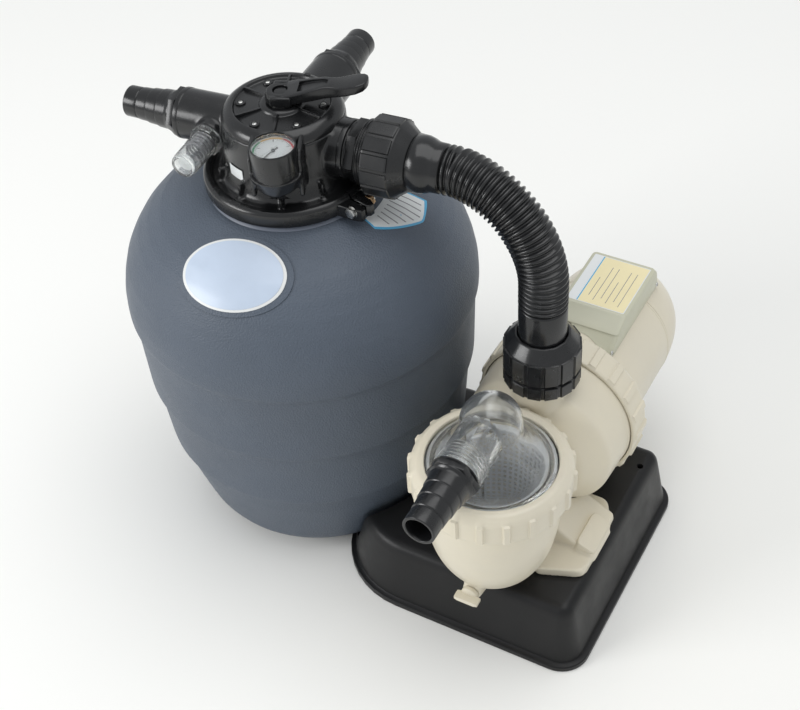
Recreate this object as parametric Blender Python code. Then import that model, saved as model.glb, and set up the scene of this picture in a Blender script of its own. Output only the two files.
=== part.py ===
"""Pool sand filter and pump set on a moulded base.

World frame: +Z up, +Y along the pump shaft from the strainer to the motor, +X from the tank to the pump.
The origin is on the floor, on the axis of the tank. Sizes below are in millimetres; meshes are in metres.
"""

from math import cos, pi, radians, sin

import bmesh
import bpy
from mathutils import Matrix, Vector

MM = 0.001
GAP = 0.3

# Sides of a round piece. A plug and its hole have the same count, so that their flats line up.
SEGMENTS = 16
FINE_SEGMENTS = 20
BORE_SEGMENTS = 12
SMALL_SEGMENTS = 8
MANIFOLD_SOLVED = ("pump_housing", "valve_body")

# Where the pump stands
TANK_RADIUS = 200.0
PUMP_X = TANK_RADIUS + 96.0

# Base
BASE_HEIGHT = 86.0
BASE_LEFT, BASE_RIGHT = TANK_RADIUS - 116.0, PUMP_X + 122.0
BASE_FRONT, BASE_BACK = -160.0, 150.0
BASE_WALL = 4.0
BASE_RIM_HEIGHT, BASE_RIM_WIDTH = 8.0, 6.0
BASE_DRAFT = 12.0
BASE_TOP_ROUND = 6.0
BASE_CORNERS = (104.0, 34.0, 34.0, 60.0)
LOBE_RADIUS = 124.0
LOBE_HEIGHT = 19.7
TANK_TO_BASE = 6.0

# Tank
TANK_WALL = 5.0
TANK_FLOOR = LOBE_HEIGHT + GAP
TANK_SHOULDER = 326.0
NECK_RADIUS = 76.0
NECK_BORE = 64.0
LIP_RADIUS = 84.0
LIP_BOTTOM = TANK_SHOULDER + 138.7
LIP_TOP = LIP_BOTTOM + 6.0
DRAIN_ANGLE = 135.0
DRAIN_HEIGHT = 62.0
DRAIN_BORE = 11.0
DRAIN_FACE = TANK_RADIUS - 22.0

# Inside the tank
STANDPIPE_RADIUS = 20.0
STANDPIPE_BORE = 17.0
HUB_RADIUS = 32.0
LATERAL_RADIUS = 8.0
LATERAL_REACH = TANK_RADIUS - 80.0
LATERAL_HEIGHT = 46.0

# Valve
VALVE_TURN = 5.0
PORT_HEIGHT = LIP_TOP + 44.3
BODY_RADIUS = 64.0
BODY_TOP = PORT_HEIGHT + 28.0
FLANGE_THICKNESS = 7.0
PUMP_PORT_RADIUS = 27.0
SIDE_PORT_RADIUS = 27.0
PORT_BORE = 17.0
THREAD_RADIUS = 20.0
THREAD_LENGTH = 20.0
PUMP_PORT_FACE = 78.0
SIDE_PORT_FACE = 122.0
SEAT_HEIGHT = BODY_TOP - 4.0
CHAMBER_RADIUS = 46.0
WINDOW_RADIUS = 9.0
WINDOW_OFFSET = 31.0
COVER_RADIUS = 59.0
COVER_CROWN = BODY_TOP + 15.0
COVER_WALL = 5.0
STEM_RADIUS = 7.1
PIN_HEIGHT = COVER_CROWN + 6.5
PIN_RADIUS = 2.0
HANDLE_ANGLE = 22.0
HANDLE_LENGTH = 92.0
CLAMP_RADIUS = 92.5
CLAMP_SPLIT = -15.0

# Gauge and sight glass
GAUGE_ANGLE = -64.0
GAUGE_OFFSET = 84.0
GAUGE_RADIUS = 23.6
GAUGE_TOP = BODY_TOP + 19.0
POCKET_RADIUS = 24.6
POCKET_TOP = GAUGE_TOP - 10.0
NEEDLE_REST = 256.0
SIGHT_OFFSET = 75.0
SIGHT_RADIUS = 14.0
SIGHT_REACH = 88.0
SIGHT_BOSS_RADIUS = 17.0
SIGHT_BOSS_REACH = 34.0

# Hose tails
TAIL_BORE = 13.0
TAIL_LENGTH = 68.0
SUCTION_TAIL_LENGTH = 77.0

# Pump
PUMP_Z = BASE_HEIGHT + 99.0
STRAINER_Y = -120.0
DISCHARGE_Y = 4.0
POT_RADIUS = 76.0
POT_RIM = PUMP_Z + 77.0
POT_BORE = 66.0
LOCK_RING_RADIUS = 87.0
LOCK_RING_BOTTOM, LOCK_RING_TOP = POT_RIM - 26.0, POT_RIM + 10.0
LID_RADIUS = 75.4
LID_THICKNESS = 5.0
LENS_RADIUS = 69.0
ELBOW_HEIGHT = POT_RIM + 64.0
ELBOW_RADIUS = 33.0
SOCKET_RADIUS = 26.0
SOCKET_FACE = -200.0
SUCTION_BORE = 19.0
DRAIN_PLUG_HEIGHT = PUMP_Z - 77.0
DRAIN_PLUG_FACE = -174.0
DRAIN_PLUG_BORE = 6.0
VOLUTE_RADIUS = 90.0
VOLUTE_CAVITY = 75.0
VOLUTE_FACE = 52.0
EYE_RADIUS = 17.0
PIPE_RADIUS = 29.0
PIPE_TOP = PUMP_Z + 131.0
PIPE_BORE = 21.0
FOOT_PAD_OFFSET = 86.0

# Unions and hose
UNION_RADIUS = 42.5
UNION_THREAD = 35.0
COLLAR_BOTTOM, COLLAR_TOP = PIPE_TOP - 33.0, PIPE_TOP + 9.0
NUT_LENGTH = 45.0
NUT_NOSE = 30.0
HOSE_RADIUS = 26.0
HOSE_BORE = 21.5
HOSE_FLANGE = 33.0
HOSE_FLANGE_THICKNESS = 5.5
PORT_SEAT = 124.0
BEND_START = 195.0

# Motor
RING_RADIUS = 97.0
RING_FRONT, RING_BACK = 46.0, 84.0
PLATE_RADIUS = 92.0
PLATE_THICKNESS = 8.0
MOTOR_RADIUS = 78.0
MOTOR_WALL = 3.0
MOTOR_BACK = 200.0
COVER_BACK = 292.0
SHAFT_RADIUS = 7.0
BEARING_RADIUS = 17.0
BEARING_WIDTH = 12.0
ROTOR_RADIUS = 35.5
IMPELLER_RADIUS = 55.0
FAN_RADIUS = 58.0

# Terminal box
BOX_X = PUMP_X + 6.0
BOX_WIDTH = 80.0
BOX_FRONT, BOX_BACK = 85.0, 236.0
BOX_TOP = PUMP_Z + 83.0
LID_FRONT, LID_BACK = 131.0, 226.0
LID_TOP = BOX_TOP + 11.0
BOX_WALL = 3.0
BOX_SKIRT = BOX_TOP - 36.0


def material(name, color, roughness, metallic=0.0, alpha=1.0):
    found = bpy.data.materials.get(name)
    if found:
        return found
    made = bpy.data.materials.new(name)
    made.use_nodes = True
    shader = made.node_tree.nodes["Principled BSDF"]
    shader.inputs["Base Color"].default_value = (*color, 1.0)
    shader.inputs["Roughness"].default_value = roughness
    shader.inputs["Metallic"].default_value = metallic
    shader.inputs["Alpha"].default_value = alpha
    return made


def black():
    return material("black_plastic", (0.015, 0.015, 0.017), 0.25)


def cream():
    return material("cream_plastic", (0.72, 0.68, 0.52), 0.35)


def clear():
    return material("clear_plastic", (0.8, 0.85, 0.85), 0.05, alpha=0.35)


def rubber():
    return material("seal_rubber", (0.02, 0.02, 0.02), 0.7)


def steel():
    return material("steel", (0.6, 0.6, 0.6), 0.3, 1.0)


def white():
    return material("white_plastic", (0.75, 0.76, 0.76), 0.4)


def place(x=0.0, y=0.0, z=0.0, direction=(0, 0, 1)):
    """A frame at a point in millimetres whose local +Z looks along direction."""
    turn = Vector(direction).to_track_quat("Z", "Y").to_matrix().to_4x4()
    return Matrix.Translation(Vector((x, y, z)) * MM) @ turn


def turning(bore, segments):
    """The largest radius that turns inside a faceted bore of that many sides, with clearance."""
    return bore * cos(pi / segments) - GAP


def along_y(y=0.0, x=PUMP_X, z=PUMP_Z):
    return place(x, y, z, (0, 1, 0))


def heading(angle, offset=0.0, height=0.0, around=(0.0, 0.0)):
    """A frame at offset from an upright axis, whose local +Z looks outwards at angle degrees."""
    way = Vector((cos(radians(angle)), sin(radians(angle)), 0))
    return place(around[0] + way.x * offset, around[1] + way.y * offset, height, way)


def polar(angle, offset):
    return cos(radians(angle)) * offset, sin(radians(angle)) * offset


def finish(mesh, name, look, frame):
    bmesh.ops.scale(mesh, vec=(MM, MM, MM), verts=mesh.verts)
    bmesh.ops.recalc_face_normals(mesh, faces=mesh.faces)
    data = bpy.data.meshes.new(name)
    mesh.to_mesh(data)
    mesh.free()
    data.shade_smooth()
    data.set_sharp_from_angle(angle=radians(32))
    obj = bpy.data.objects.new(name, data)
    bpy.context.scene.collection.objects.link(obj)
    obj.matrix_world = frame
    if look:
        data.materials.append(look)
    else:
        obj.hide_render = True
        obj.display_type = "WIRE"
    return obj


def skin(mesh, rings, loop):
    """Faces between rings of vertices, each ring closed on itself; loop also joins the last ring to the first."""
    following = rings[1:] + rings[:1] if loop else rings[1:]
    for first, second in zip(rings, following):
        for i in range(len(first)):
            j = (i + 1) % len(first)
            corners = list(dict.fromkeys((first[i], first[j], second[j], second[i])))
            if len(corners) > 2:
                mesh.faces.new(corners)


def revolve(name, outline, look=None, frame=Matrix.Identity(4), segments=SEGMENTS):
    """Turns a closed outline of (radius, height) about local Z. A point on the axis is a single vertex."""
    mesh = bmesh.new()
    rings = []
    for radius, height in outline:
        if radius == 0:
            rings.append([mesh.verts.new((0, 0, height))] * segments)
            continue
        turns = [2 * pi * i / segments for i in range(segments)]
        rings.append([mesh.verts.new((radius * cos(t), radius * sin(t), height)) for t in turns])
    skin(mesh, rings, loop=True)
    return finish(mesh, name, look, frame)


def cylinder(name, radius, low, high, look=None, frame=Matrix.Identity(4), segments=SEGMENTS):
    outline = ((0, low), (radius, low), (radius, high), (0, high))
    return revolve(name, outline, look, frame, segments)


def tube(name, inner, outer, low, high, look, frame=Matrix.Identity(4), segments=SEGMENTS):
    outline = ((inner, low), (outer, low), (outer, high), (inner, high))
    return revolve(name, outline, look, frame, segments)


def loft(name, rings, look=None, frame=Matrix.Identity(4)):
    """A solid through rings of equal point counts, flat at both ends."""
    mesh = bmesh.new()
    made = [[mesh.verts.new(point) for point in ring] for ring in rings]
    skin(mesh, made, loop=False)
    mesh.faces.new(made[0])
    mesh.faces.new(made[-1])
    return finish(mesh, name, look, frame)


def prism(name, outline, low, high, look=None, frame=Matrix.Identity(4)):
    return loft(name, [[(x, y, z) for x, y in outline] for z in (low, high)], look, frame)


def box(name, low, high, look=None, frame=Matrix.Identity(4)):
    corners = ((low[0], low[1]), (high[0], low[1]), (high[0], high[1]), (low[0], high[1]))
    return prism(name, corners, low[2], high[2], look, frame)


def polygon(sides, radius, turn=0.0):
    steps = [radians(turn) + 2 * pi * i / sides for i in range(sides)]
    return [(radius * cos(t), radius * sin(t)) for t in steps]


def change(obj, tool, operation):
    step = obj.modifiers.new(f"{operation.lower()}_{tool.name}", "BOOLEAN")
    step.operation = operation
    step.object = tool
    step.solver = "MANIFOLD" if obj.name in MANIFOLD_SOLVED else "EXACT"
    return obj


def cut(obj, *tools):
    for tool in tools:
        change(obj, tool, "DIFFERENCE")
    return obj


def join(obj, *tools):
    for tool in tools:
        change(obj, tool, "UNION")
    return obj


def rounded_rectangle(left, right, front, back, radii, steps=5):
    corners = ((left, front, 180), (right, front, 270), (right, back, 0), (left, back, 90))
    points = []
    for (x, y, start), radius in zip(corners, radii):
        centre_x = x + radius if x == left else x - radius
        centre_y = y + radius if y == front else y - radius
        for i in range(steps + 1):
            turn = radians(start + 90 * i / steps)
            points.append((centre_x + radius * cos(turn), centre_y + radius * sin(turn)))
    return points


def ribbed_ring(name, inner, outline, ribs, rib_depth, look, frame):
    """A ring whose outside carries raised ribs. The outline is (radius, height) up the outside."""
    mesh = bmesh.new()
    count = ribs * 2
    turns = [2 * pi * i / count for i in range(count)]
    rings = []
    for radius, height, ribbed in outline:
        ring = []
        for i, turn in enumerate(turns):
            reach = radius - rib_depth if ribbed and i % 2 else radius
            ring.append(mesh.verts.new((reach * cos(turn), reach * sin(turn), height)))
        rings.append(ring)
    for radius, height in inner:
        rings.append([mesh.verts.new((radius * cos(t), radius * sin(t), height)) for t in turns])
    skin(mesh, rings, loop=True)
    return finish(mesh, name, look, frame)


# Base -----------------------------------------------------------------------------------------------------


def base_ring(height, inset):
    radii = [max(radius - inset, 4.0) for radius in BASE_CORNERS]
    outline = rounded_rectangle(
        BASE_LEFT + inset, BASE_RIGHT - inset, BASE_FRONT + inset, BASE_BACK - inset, radii
    )
    return [(x, y, height) for x, y in outline]


def tank_clearance(name, extra):
    """The space around the lower tank that the base leaves free, grown by extra."""
    low = TANK_FLOOR - GAP - extra
    grow = TANK_TO_BASE + extra
    side = [(radius + grow, height) for radius, height in tank_side() if height < BASE_HEIGHT]
    top = BASE_HEIGHT + BASE_WALL
    return revolve(name, [(0, low), (side[0][0], low), *side[1:], (side[-1][0] + 3, top), (0, top)])


def make_base():
    shoulder = BASE_HEIGHT - BASE_TOP_ROUND
    inset = BASE_RIM_WIDTH + BASE_DRAFT
    outer = [
        base_ring(0, 0),
        base_ring(BASE_RIM_HEIGHT, 0),
        base_ring(BASE_RIM_HEIGHT, BASE_RIM_WIDTH),
        base_ring(shoulder, inset),
        base_ring(BASE_HEIGHT - 1.8, inset + 1.8),
        base_ring(BASE_HEIGHT, inset + BASE_TOP_ROUND),
    ]
    inner = [
        base_ring(-BASE_WALL, BASE_RIM_WIDTH + BASE_WALL),
        base_ring(BASE_RIM_HEIGHT, BASE_RIM_WIDTH + BASE_WALL),
        base_ring(shoulder, inset + BASE_WALL),
        base_ring(BASE_HEIGHT - BASE_WALL, inset + BASE_WALL + 4),
    ]
    hollow = loft("base_hollow", inner)
    cut(hollow, tank_clearance("base_hollow_clearance", BASE_WALL))
    cut(hollow, cylinder("base_lobe_kept", LOBE_RADIUS - BASE_WALL, -10, LOBE_HEIGHT, None))
    made = loft("base", outer, material("base_black", (0.012, 0.012, 0.013), 0.4))
    join(made, cylinder("base_lobe", LOBE_RADIUS, 0, BASE_HEIGHT / 2, segments=FINE_SEGMENTS))
    cut(made, tank_clearance("base_clearance", 0), hollow)


# Tank -----------------------------------------------------------------------------------------------------


def tank_side():
    """The outside of the tank from its foot to its widest band, as (radius, height)."""
    band = (TANK_SHOULDER - TANK_FLOOR) / 306
    profile = (
        (72, 0),
        (58, 4),
        (47, 20),
        (36, 58),
        (23, 108),
        (20, 112),
        (11, 195),
        (8.5, 199),
        (2.5, 294),
        (0, 298),
    )
    return [(TANK_RADIUS - inset, TANK_FLOOR + band * height) for inset, height in profile]


def tank_shoulder():
    """The outside of the tank from its widest band to the foot of its neck."""
    return [
        (TANK_RADIUS, TANK_SHOULDER),
        (TANK_RADIUS - 4, TANK_SHOULDER + 32),
        (TANK_RADIUS - 16, TANK_SHOULDER + 64),
        (TANK_RADIUS - 38, TANK_SHOULDER + 94),
        (TANK_RADIUS - 72, TANK_SHOULDER + 117),
        (NECK_RADIUS + 20, LIP_BOTTOM - 9.7),
        (NECK_RADIUS, LIP_BOTTOM - 5.7),
    ]


def make_tank():
    outside = tank_side() + tank_shoulder()
    side = tank_side()
    bands = (side[2], side[4], side[6], side[8], tank_shoulder()[1], tank_shoulder()[2])
    inside = [(radius - TANK_WALL, height) for radius, height in reversed(bands)]
    roof = [(NECK_BORE, LIP_BOTTOM - 11.7), (TANK_RADIUS - 78, TANK_SHOULDER + 112)]
    lip = [
        (NECK_RADIUS, LIP_BOTTOM),
        (LIP_RADIUS, LIP_BOTTOM),
        (LIP_RADIUS, LIP_TOP),
        (NECK_RADIUS + 0.5, LIP_TOP),
        (NECK_RADIUS + 0.5, LIP_TOP - 4),
        (NECK_RADIUS - 5, LIP_TOP - 4),
        (NECK_RADIUS - 5, LIP_TOP),
        (NECK_BORE, LIP_TOP),
    ]
    floor = [(TANK_RADIUS - 76, TANK_FLOOR + TANK_WALL), (0, TANK_FLOOR + TANK_WALL)]
    look = material("tank_blue_grey", (0.09, 0.11, 0.14), 0.55)
    outline = [(0, TANK_FLOOR), *outside, *lip, *roof, *inside, *floor]
    made = revolve("tank", outline, look, segments=FINE_SEGMENTS)
    boss = heading(DRAIN_ANGLE, 0, DRAIN_HEIGHT)
    join(made, cylinder("tank_drain_boss", DRAIN_BORE + 9, DRAIN_FACE - 20, DRAIN_FACE, None, boss, SMALL_SEGMENTS))
    cut(made, cylinder("tank_drain_hole", DRAIN_BORE, DRAIN_FACE - 38, DRAIN_FACE + 5, None, boss, SMALL_SEGMENTS))
    stem = turning(DRAIN_BORE, SMALL_SEGMENTS)
    cap = [
        (0, -16),
        (stem, -16),
        (stem, GAP),
        (DRAIN_BORE + 10, GAP),
        (DRAIN_BORE + 10, 7),
        (DRAIN_BORE - 2, 9),
        (DRAIN_BORE - 2, 15),
        (0, 15),
    ]
    seat = heading(DRAIN_ANGLE, DRAIN_FACE, DRAIN_HEIGHT)
    revolve("tank_drain_cap", cap, black(), seat, SMALL_SEGMENTS)


def make_tank_inside():
    low = TANK_FLOOR + TANK_WALL + GAP
    socket = LATERAL_HEIGHT + LATERAL_RADIUS + 4
    hub = [
        (0, low),
        (HUB_RADIUS, low),
        (HUB_RADIUS, socket + 20),
        (STANDPIPE_RADIUS + GAP, socket + 20),
        (STANDPIPE_RADIUS + GAP, socket),
        (0, socket),
    ]
    hub_object = revolve("lateral_assembly", hub, black())
    for i in range(4):
        bar = heading(45 * i, 0, LATERAL_HEIGHT)
        name = f"lateral_bar_{i}"
        join(hub_object, cylinder(name, LATERAL_RADIUS, -LATERAL_REACH, LATERAL_REACH, None, bar, 6))
    top = LIP_TOP + 2
    tube("standpipe", STANDPIPE_BORE, STANDPIPE_RADIUS, socket + GAP, top, white())
    collar = STANDPIPE_RADIUS + 6 + GAP
    diffuser = [
        (collar, LIP_TOP - 24),
        (NECK_BORE - 8, LIP_TOP - 24),
        (NECK_BORE - 8, LIP_TOP - 21),
        (collar + 3, LIP_TOP - 21),
        (collar + 3, LIP_TOP - 5),
        (collar, LIP_TOP - 5),
    ]
    revolve("top_diffuser", diffuser, black())


# Clamp ----------------------------------------------------------------------------------------------------


def clamp_half(name, start, low, high):
    inner = NECK_RADIUS + 3
    outline = (
        (inner, low),
        (CLAMP_RADIUS, low),
        (CLAMP_RADIUS, high),
        (inner, high),
        (inner, high - 3),
        (LIP_RADIUS + 0.5, high - 3),
        (LIP_RADIUS + 0.5, low + 2.8),
        (inner, low + 2.8),
    )
    mesh = bmesh.new()
    steps = 18
    split = 2.0
    sections = []
    for i in range(steps + 1):
        turn = radians(start + split + (180 - 2 * split) * i / steps)
        sections.append([mesh.verts.new((r * cos(turn), r * sin(turn), z)) for r, z in outline])
    skin(mesh, sections, loop=False)
    mesh.faces.new(sections[0])
    mesh.faces.new(sections[-1])
    made = finish(mesh, name, black(), Matrix.Identity(4))
    for end, side in ((start, 1), (start + 180, -1)):
        frame = Matrix.Rotation(radians(end), 4, "Z")
        near, far = sorted((side * 2.5, side * 11))
        lug = box(f"{name}_lug_{side}", (CLAMP_RADIUS - 3, near, low + 1), (116, far, high - 1), None, frame)
        join(made, lug)
        hole = Matrix.Rotation(radians(end), 4, "Z") @ place(105, 0, (low + high) / 2, (0, 1, 0))
        cut(made, cylinder(f"{name}_hole_{side}", 3.4, -20, 20, None, hole, SMALL_SEGMENTS))


def make_clamp():
    low, high = LIP_BOTTOM - 3.1, LIP_TOP + FLANGE_THICKNESS + 3.6
    clamp_half("clamp_half_back", CLAMP_SPLIT, low, high)
    clamp_half("clamp_half_front", CLAMP_SPLIT + 180, low, high)
    bolt = [(0, -11.3), (3, -11.3), (3, 20), (0, 20)]
    for number, angle in (("right", CLAMP_SPLIT), ("left", CLAMP_SPLIT + 180)):
        frame = Matrix.Rotation(radians(angle), 4, "Z") @ place(105, 0, (low + high) / 2, (0, 1, 0))
        made = revolve(f"clamp_bolt_{number}", bolt, steel(), frame, 12)
        join(made, prism(f"clamp_bolt_head_{number}", polygon(6, 6.4), -15.5, -11.0 - GAP, None, frame))
        brass = material("brass", (0.7, 0.5, 0.2), 0.3, 1.0)
        nut = prism(f"clamp_nut_{number}", polygon(6, 6.8), 11.0 + GAP, 17, brass, frame)
        cut(nut, cylinder(f"clamp_nut_bore_{number}", 3 + GAP, 5, 25, None, frame, 12))
    groove = NECK_RADIUS - 5
    section = [
        (groove + 0.4, LIP_TOP - 3.6),
        (NECK_RADIUS, LIP_TOP - 3.6),
        (NECK_RADIUS, LIP_TOP - 0.2),
        (groove + 0.4, LIP_TOP - 0.2),
    ]
    revolve("neck_oring", section, rubber(), segments=FINE_SEGMENTS)


# Valve ----------------------------------------------------------------------------------------------------


def port_angles():
    return {"pump": VALVE_TURN, "return": VALVE_TURN + 90, "waste": VALVE_TURN + 180}


def window_angles():
    return [*port_angles().values(), VALVE_TURN + 45]


def make_valve_body():
    low = LIP_TOP + 0.6
    top_of_flange = low + FLANGE_THICKNESS
    sleeve = STANDPIPE_RADIUS + GAP
    shape = [
        (sleeve, LIP_TOP - 18),
        (sleeve + 6 - GAP, LIP_TOP - 18),
        (sleeve + 6 - GAP, low),
        (LIP_RADIUS, low),
        (LIP_RADIUS, top_of_flange),
        (BODY_RADIUS + 6, top_of_flange),
        (BODY_RADIUS, top_of_flange + 8),
        (BODY_RADIUS, BODY_TOP - 9),
        (COVER_RADIUS + 6, BODY_TOP - 7),
        (COVER_RADIUS + 6, BODY_TOP),
        (CHAMBER_RADIUS, BODY_TOP),
        (CHAMBER_RADIUS, SEAT_HEIGHT),
        (sleeve - 3, SEAT_HEIGHT),
        (sleeve - 3, LIP_TOP + 4),
        (sleeve, LIP_TOP + 4),
    ]
    made = revolve("valve_body", shape, black())
    for name, angle in port_angles().items():
        pump = name == "pump"
        radius = PUMP_PORT_RADIUS if pump else SIDE_PORT_RADIUS
        face = PUMP_PORT_FACE if pump else SIDE_PORT_FACE
        frame = heading(angle, 0, PORT_HEIGHT)
        join(made, cylinder(f"valve_port_{name}", radius, 40, face, None, frame))
    pocket_x, pocket_y = polar(GAUGE_ANGLE, GAUGE_OFFSET)
    pocket = place(pocket_x, pocket_y, 0)
    join(made, cylinder("valve_gauge_pocket", POCKET_RADIUS, PORT_HEIGHT - 25, POCKET_TOP, None, pocket))
    waste = port_angles()["waste"]
    sight = heading(waste + 90, 0, PORT_HEIGHT, polar(waste, SIGHT_OFFSET))
    join(made, cylinder("valve_sight_boss", SIGHT_BOSS_RADIUS, 8, SIGHT_BOSS_REACH, None, sight, BORE_SEGMENTS))
    for name, angle in port_angles().items():
        face = PUMP_PORT_FACE if name == "pump" else SIDE_PORT_FACE
        bore = [
            (0, 26),
            (PORT_BORE, 26),
            (PORT_BORE, face - THREAD_LENGTH),
            (THREAD_RADIUS + GAP, face - THREAD_LENGTH),
            (THREAD_RADIUS + GAP, face + 5),
            (0, face + 5),
        ]
        cut(made, revolve(f"valve_bore_{name}", bore, None, heading(angle, 0, PORT_HEIGHT), BORE_SEGMENTS))
    for i, angle in enumerate(window_angles()):
        x, y = polar(angle, WINDOW_OFFSET)
        start = PORT_HEIGHT if i < 3 else LIP_TOP - 5
        window = cylinder(f"valve_window_{i}", WINDOW_RADIUS, start, BODY_TOP + 5, None, place(x, y, 0), 8)
        cut(made, window)
    low, step = POCKET_TOP - 52, POCKET_TOP - 20
    recess = [(0, low), (6.5, low), (6.5, step), (21.3, step), (21.3, GAUGE_TOP), (0, GAUGE_TOP)]
    cut(made, revolve("valve_gauge_recess", recess, None, pocket))
    chamber = cylinder("valve_chamber", CHAMBER_RADIUS, SEAT_HEIGHT, BODY_TOP + 5)
    cut(made, chamber)
    drill = [(0, 15), (8, 15), (8, 22), (12.3, 22), (12.3, 40), (0, 40)]
    cut(made, revolve("valve_sight_hole", drill, None, sight, BORE_SEGMENTS))
    groove = ((48.7, BODY_TOP - 3), (53.3, BODY_TOP - 3), (53.3, BODY_TOP + 3), (48.7, BODY_TOP + 3))
    cut(made, revolve("valve_cover_groove", groove))
    ring = ((49, BODY_TOP - 2.7), (53, BODY_TOP - 2.7), (53, BODY_TOP), (49, BODY_TOP))
    revolve("cover_oring", ring, rubber())


def make_valve_top():
    low = BODY_TOP + GAP
    hole = STEM_RADIUS + 0.5
    cover = [
        (CHAMBER_RADIUS, low),
        (COVER_RADIUS, low),
        (COVER_RADIUS, low + 6),
        (CHAMBER_RADIUS + 6, low + 8.5),
        (CHAMBER_RADIUS, low + 10.5),
        (30, low + 13.5),
        (16, COVER_CROWN),
        (hole, COVER_CROWN),
        (hole, COVER_CROWN - COVER_WALL),
        (CHAMBER_RADIUS, COVER_CROWN - COVER_WALL - 1.5),
    ]
    revolve("valve_cover", cover, black())
    top_of_gasket = SEAT_HEIGHT + GAP + 2
    gasket = tube("spider_gasket", 17.6, CHAMBER_RADIUS - 0.5, SEAT_HEIGHT + GAP, top_of_gasket, rubber())
    for i, angle in enumerate(window_angles()):
        x, y = polar(angle, WINDOW_OFFSET)
        name = f"gasket_window_{i}"
        cutter = cylinder(name, WINDOW_RADIUS + 1, SEAT_HEIGHT - 20, SEAT_HEIGHT + 20, None, place(x, y, 0), 8)
        cut(gasket, cutter)
    disc = top_of_gasket + GAP
    top, well = disc + 5, disc + 2
    rotor = [
        (0, disc),
        (CHAMBER_RADIUS - 2, disc),
        (CHAMBER_RADIUS - 2, top),
        (13, top),
        (13, well),
        (STEM_RADIUS + 0.6, well),
        (STEM_RADIUS, well + 0.6),
        (STEM_RADIUS, PIN_HEIGHT + 5),
        (0, PIN_HEIGHT + 5),
    ]
    rotor_object = revolve("valve_rotor", rotor, white())
    bridge = Matrix.Rotation(radians(VALVE_TURN), 4, "Z")
    cut(rotor_object, box("rotor_bridge", (20, -12, disc - 5), (42, 12, disc + 5), None, bridge))
    pin_frame = place(0, 0, PIN_HEIGHT, (*polar(HANDLE_ANGLE + 90, 1), 0))
    cut(rotor_object, cylinder("stem_pin_hole", PIN_RADIUS + GAP, -30, 30, None, pin_frame, 12))
    make_spring(well + GAP, COVER_CROWN - COVER_WALL - 0.9)
    tube("thrust_washer", STEM_RADIUS + 0.5, 13.5, COVER_CROWN + GAP, COVER_CROWN + 1.8, steel())
    return pin_frame


def make_spring(low, high):
    wire, middle, turns, steps, sides = 0.8, 10.6, 3, 9, 5
    mesh = bmesh.new()
    rings = []
    for i in range(turns * steps + 1):
        turn = 2 * pi * i / steps
        height = low + wire + (high - low - 2 * wire) * i / (turns * steps)
        ring = []
        for k in range(sides):
            around = 2 * pi * k / sides
            across = middle + wire * cos(around)
            ring.append(mesh.verts.new((across * cos(turn), across * sin(turn), height + wire * sin(around))))
        rings.append(ring)
    skin(mesh, rings, loop=False)
    mesh.faces.new(rings[0])
    mesh.faces.new(rings[-1])
    finish(mesh, "valve_spring", steel(), Matrix.Identity(4))


def make_handle(pin_frame):
    turn = Matrix.Translation((0, 0, PIN_HEIGHT * MM)) @ Matrix.Rotation(radians(HANDLE_ANGLE), 4, "Z")
    low = COVER_CROWN + 2.1 - PIN_HEIGHT
    stations = (
        (6, 11, low + 2, 5),
        (30, 9, 2.5, 12),
        (52, 8, 5, 15),
        (74, 11, 8, 16),
        (HANDLE_LENGTH, 6, 14, 22),
    )
    rings = []
    for reach, half, bottom, top in stations:
        rings.append([(reach, -half, bottom), (reach, half, bottom), (reach, half, top), (reach, -half, top)])
    made = cylinder("valve_handle", 14, low, 6.5, black(), turn, BORE_SEGMENTS)
    join(made, loft("handle_lever", rings, None, turn))
    cut(made, cylinder("handle_stem_hole", STEM_RADIUS + 1.6, -20, 30, None, turn, SMALL_SEGMENTS))
    cut(made, cylinder("handle_pin_hole", PIN_RADIUS + GAP, -30, 30, None, pin_frame, 12))
    cylinder("handle_pin", PIN_RADIUS, -13.8, 13.8, steel(), pin_frame, 12)


def make_gauge():
    x, y = polar(GAUGE_ANGLE, GAUGE_OFFSET)
    frame = place(x, y, 0)
    case = [
        (0, POCKET_TOP - 48),
        (6, POCKET_TOP - 48),
        (6, POCKET_TOP - 19),
        (21, POCKET_TOP - 19),
        (21, POCKET_TOP + GAP),
        (GAUGE_RADIUS, POCKET_TOP + GAP),
        (GAUGE_RADIUS, GAUGE_TOP - 1),
        (GAUGE_RADIUS - 1, GAUGE_TOP),
        (21.4, GAUGE_TOP),
        (21.4, GAUGE_TOP - 4.3),
        (20, GAUGE_TOP - 4.3),
        (20, POCKET_TOP + 0.8),
        (0, POCKET_TOP + 0.8),
    ]
    revolve("gauge_case", case, black(), frame)
    dial_top = POCKET_TOP + 2
    tube("gauge_dial", 1.6, 19.6, POCKET_TOP + 1.1, dial_top, white(), frame)
    pivot = place(x, y, dial_top) @ Matrix.Rotation(radians(NEEDLE_REST), 4, "Z")
    needle = cylinder("gauge_needle", 1.3, 0.6 - 1, 2.6, material("needle_black", (0.02, 0.02, 0.02), 0.4), pivot, 12)
    blade = ((-5, -0.7), (15, -0.35), (15, 0.35), (-5, 0.7))
    join(needle, prism("needle_blade", blade, 0.9, 1.7, None, pivot))
    cylinder("gauge_lens", 21.1, GAUGE_TOP - 4, GAUGE_TOP - 1.5, clear(), frame)


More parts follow.
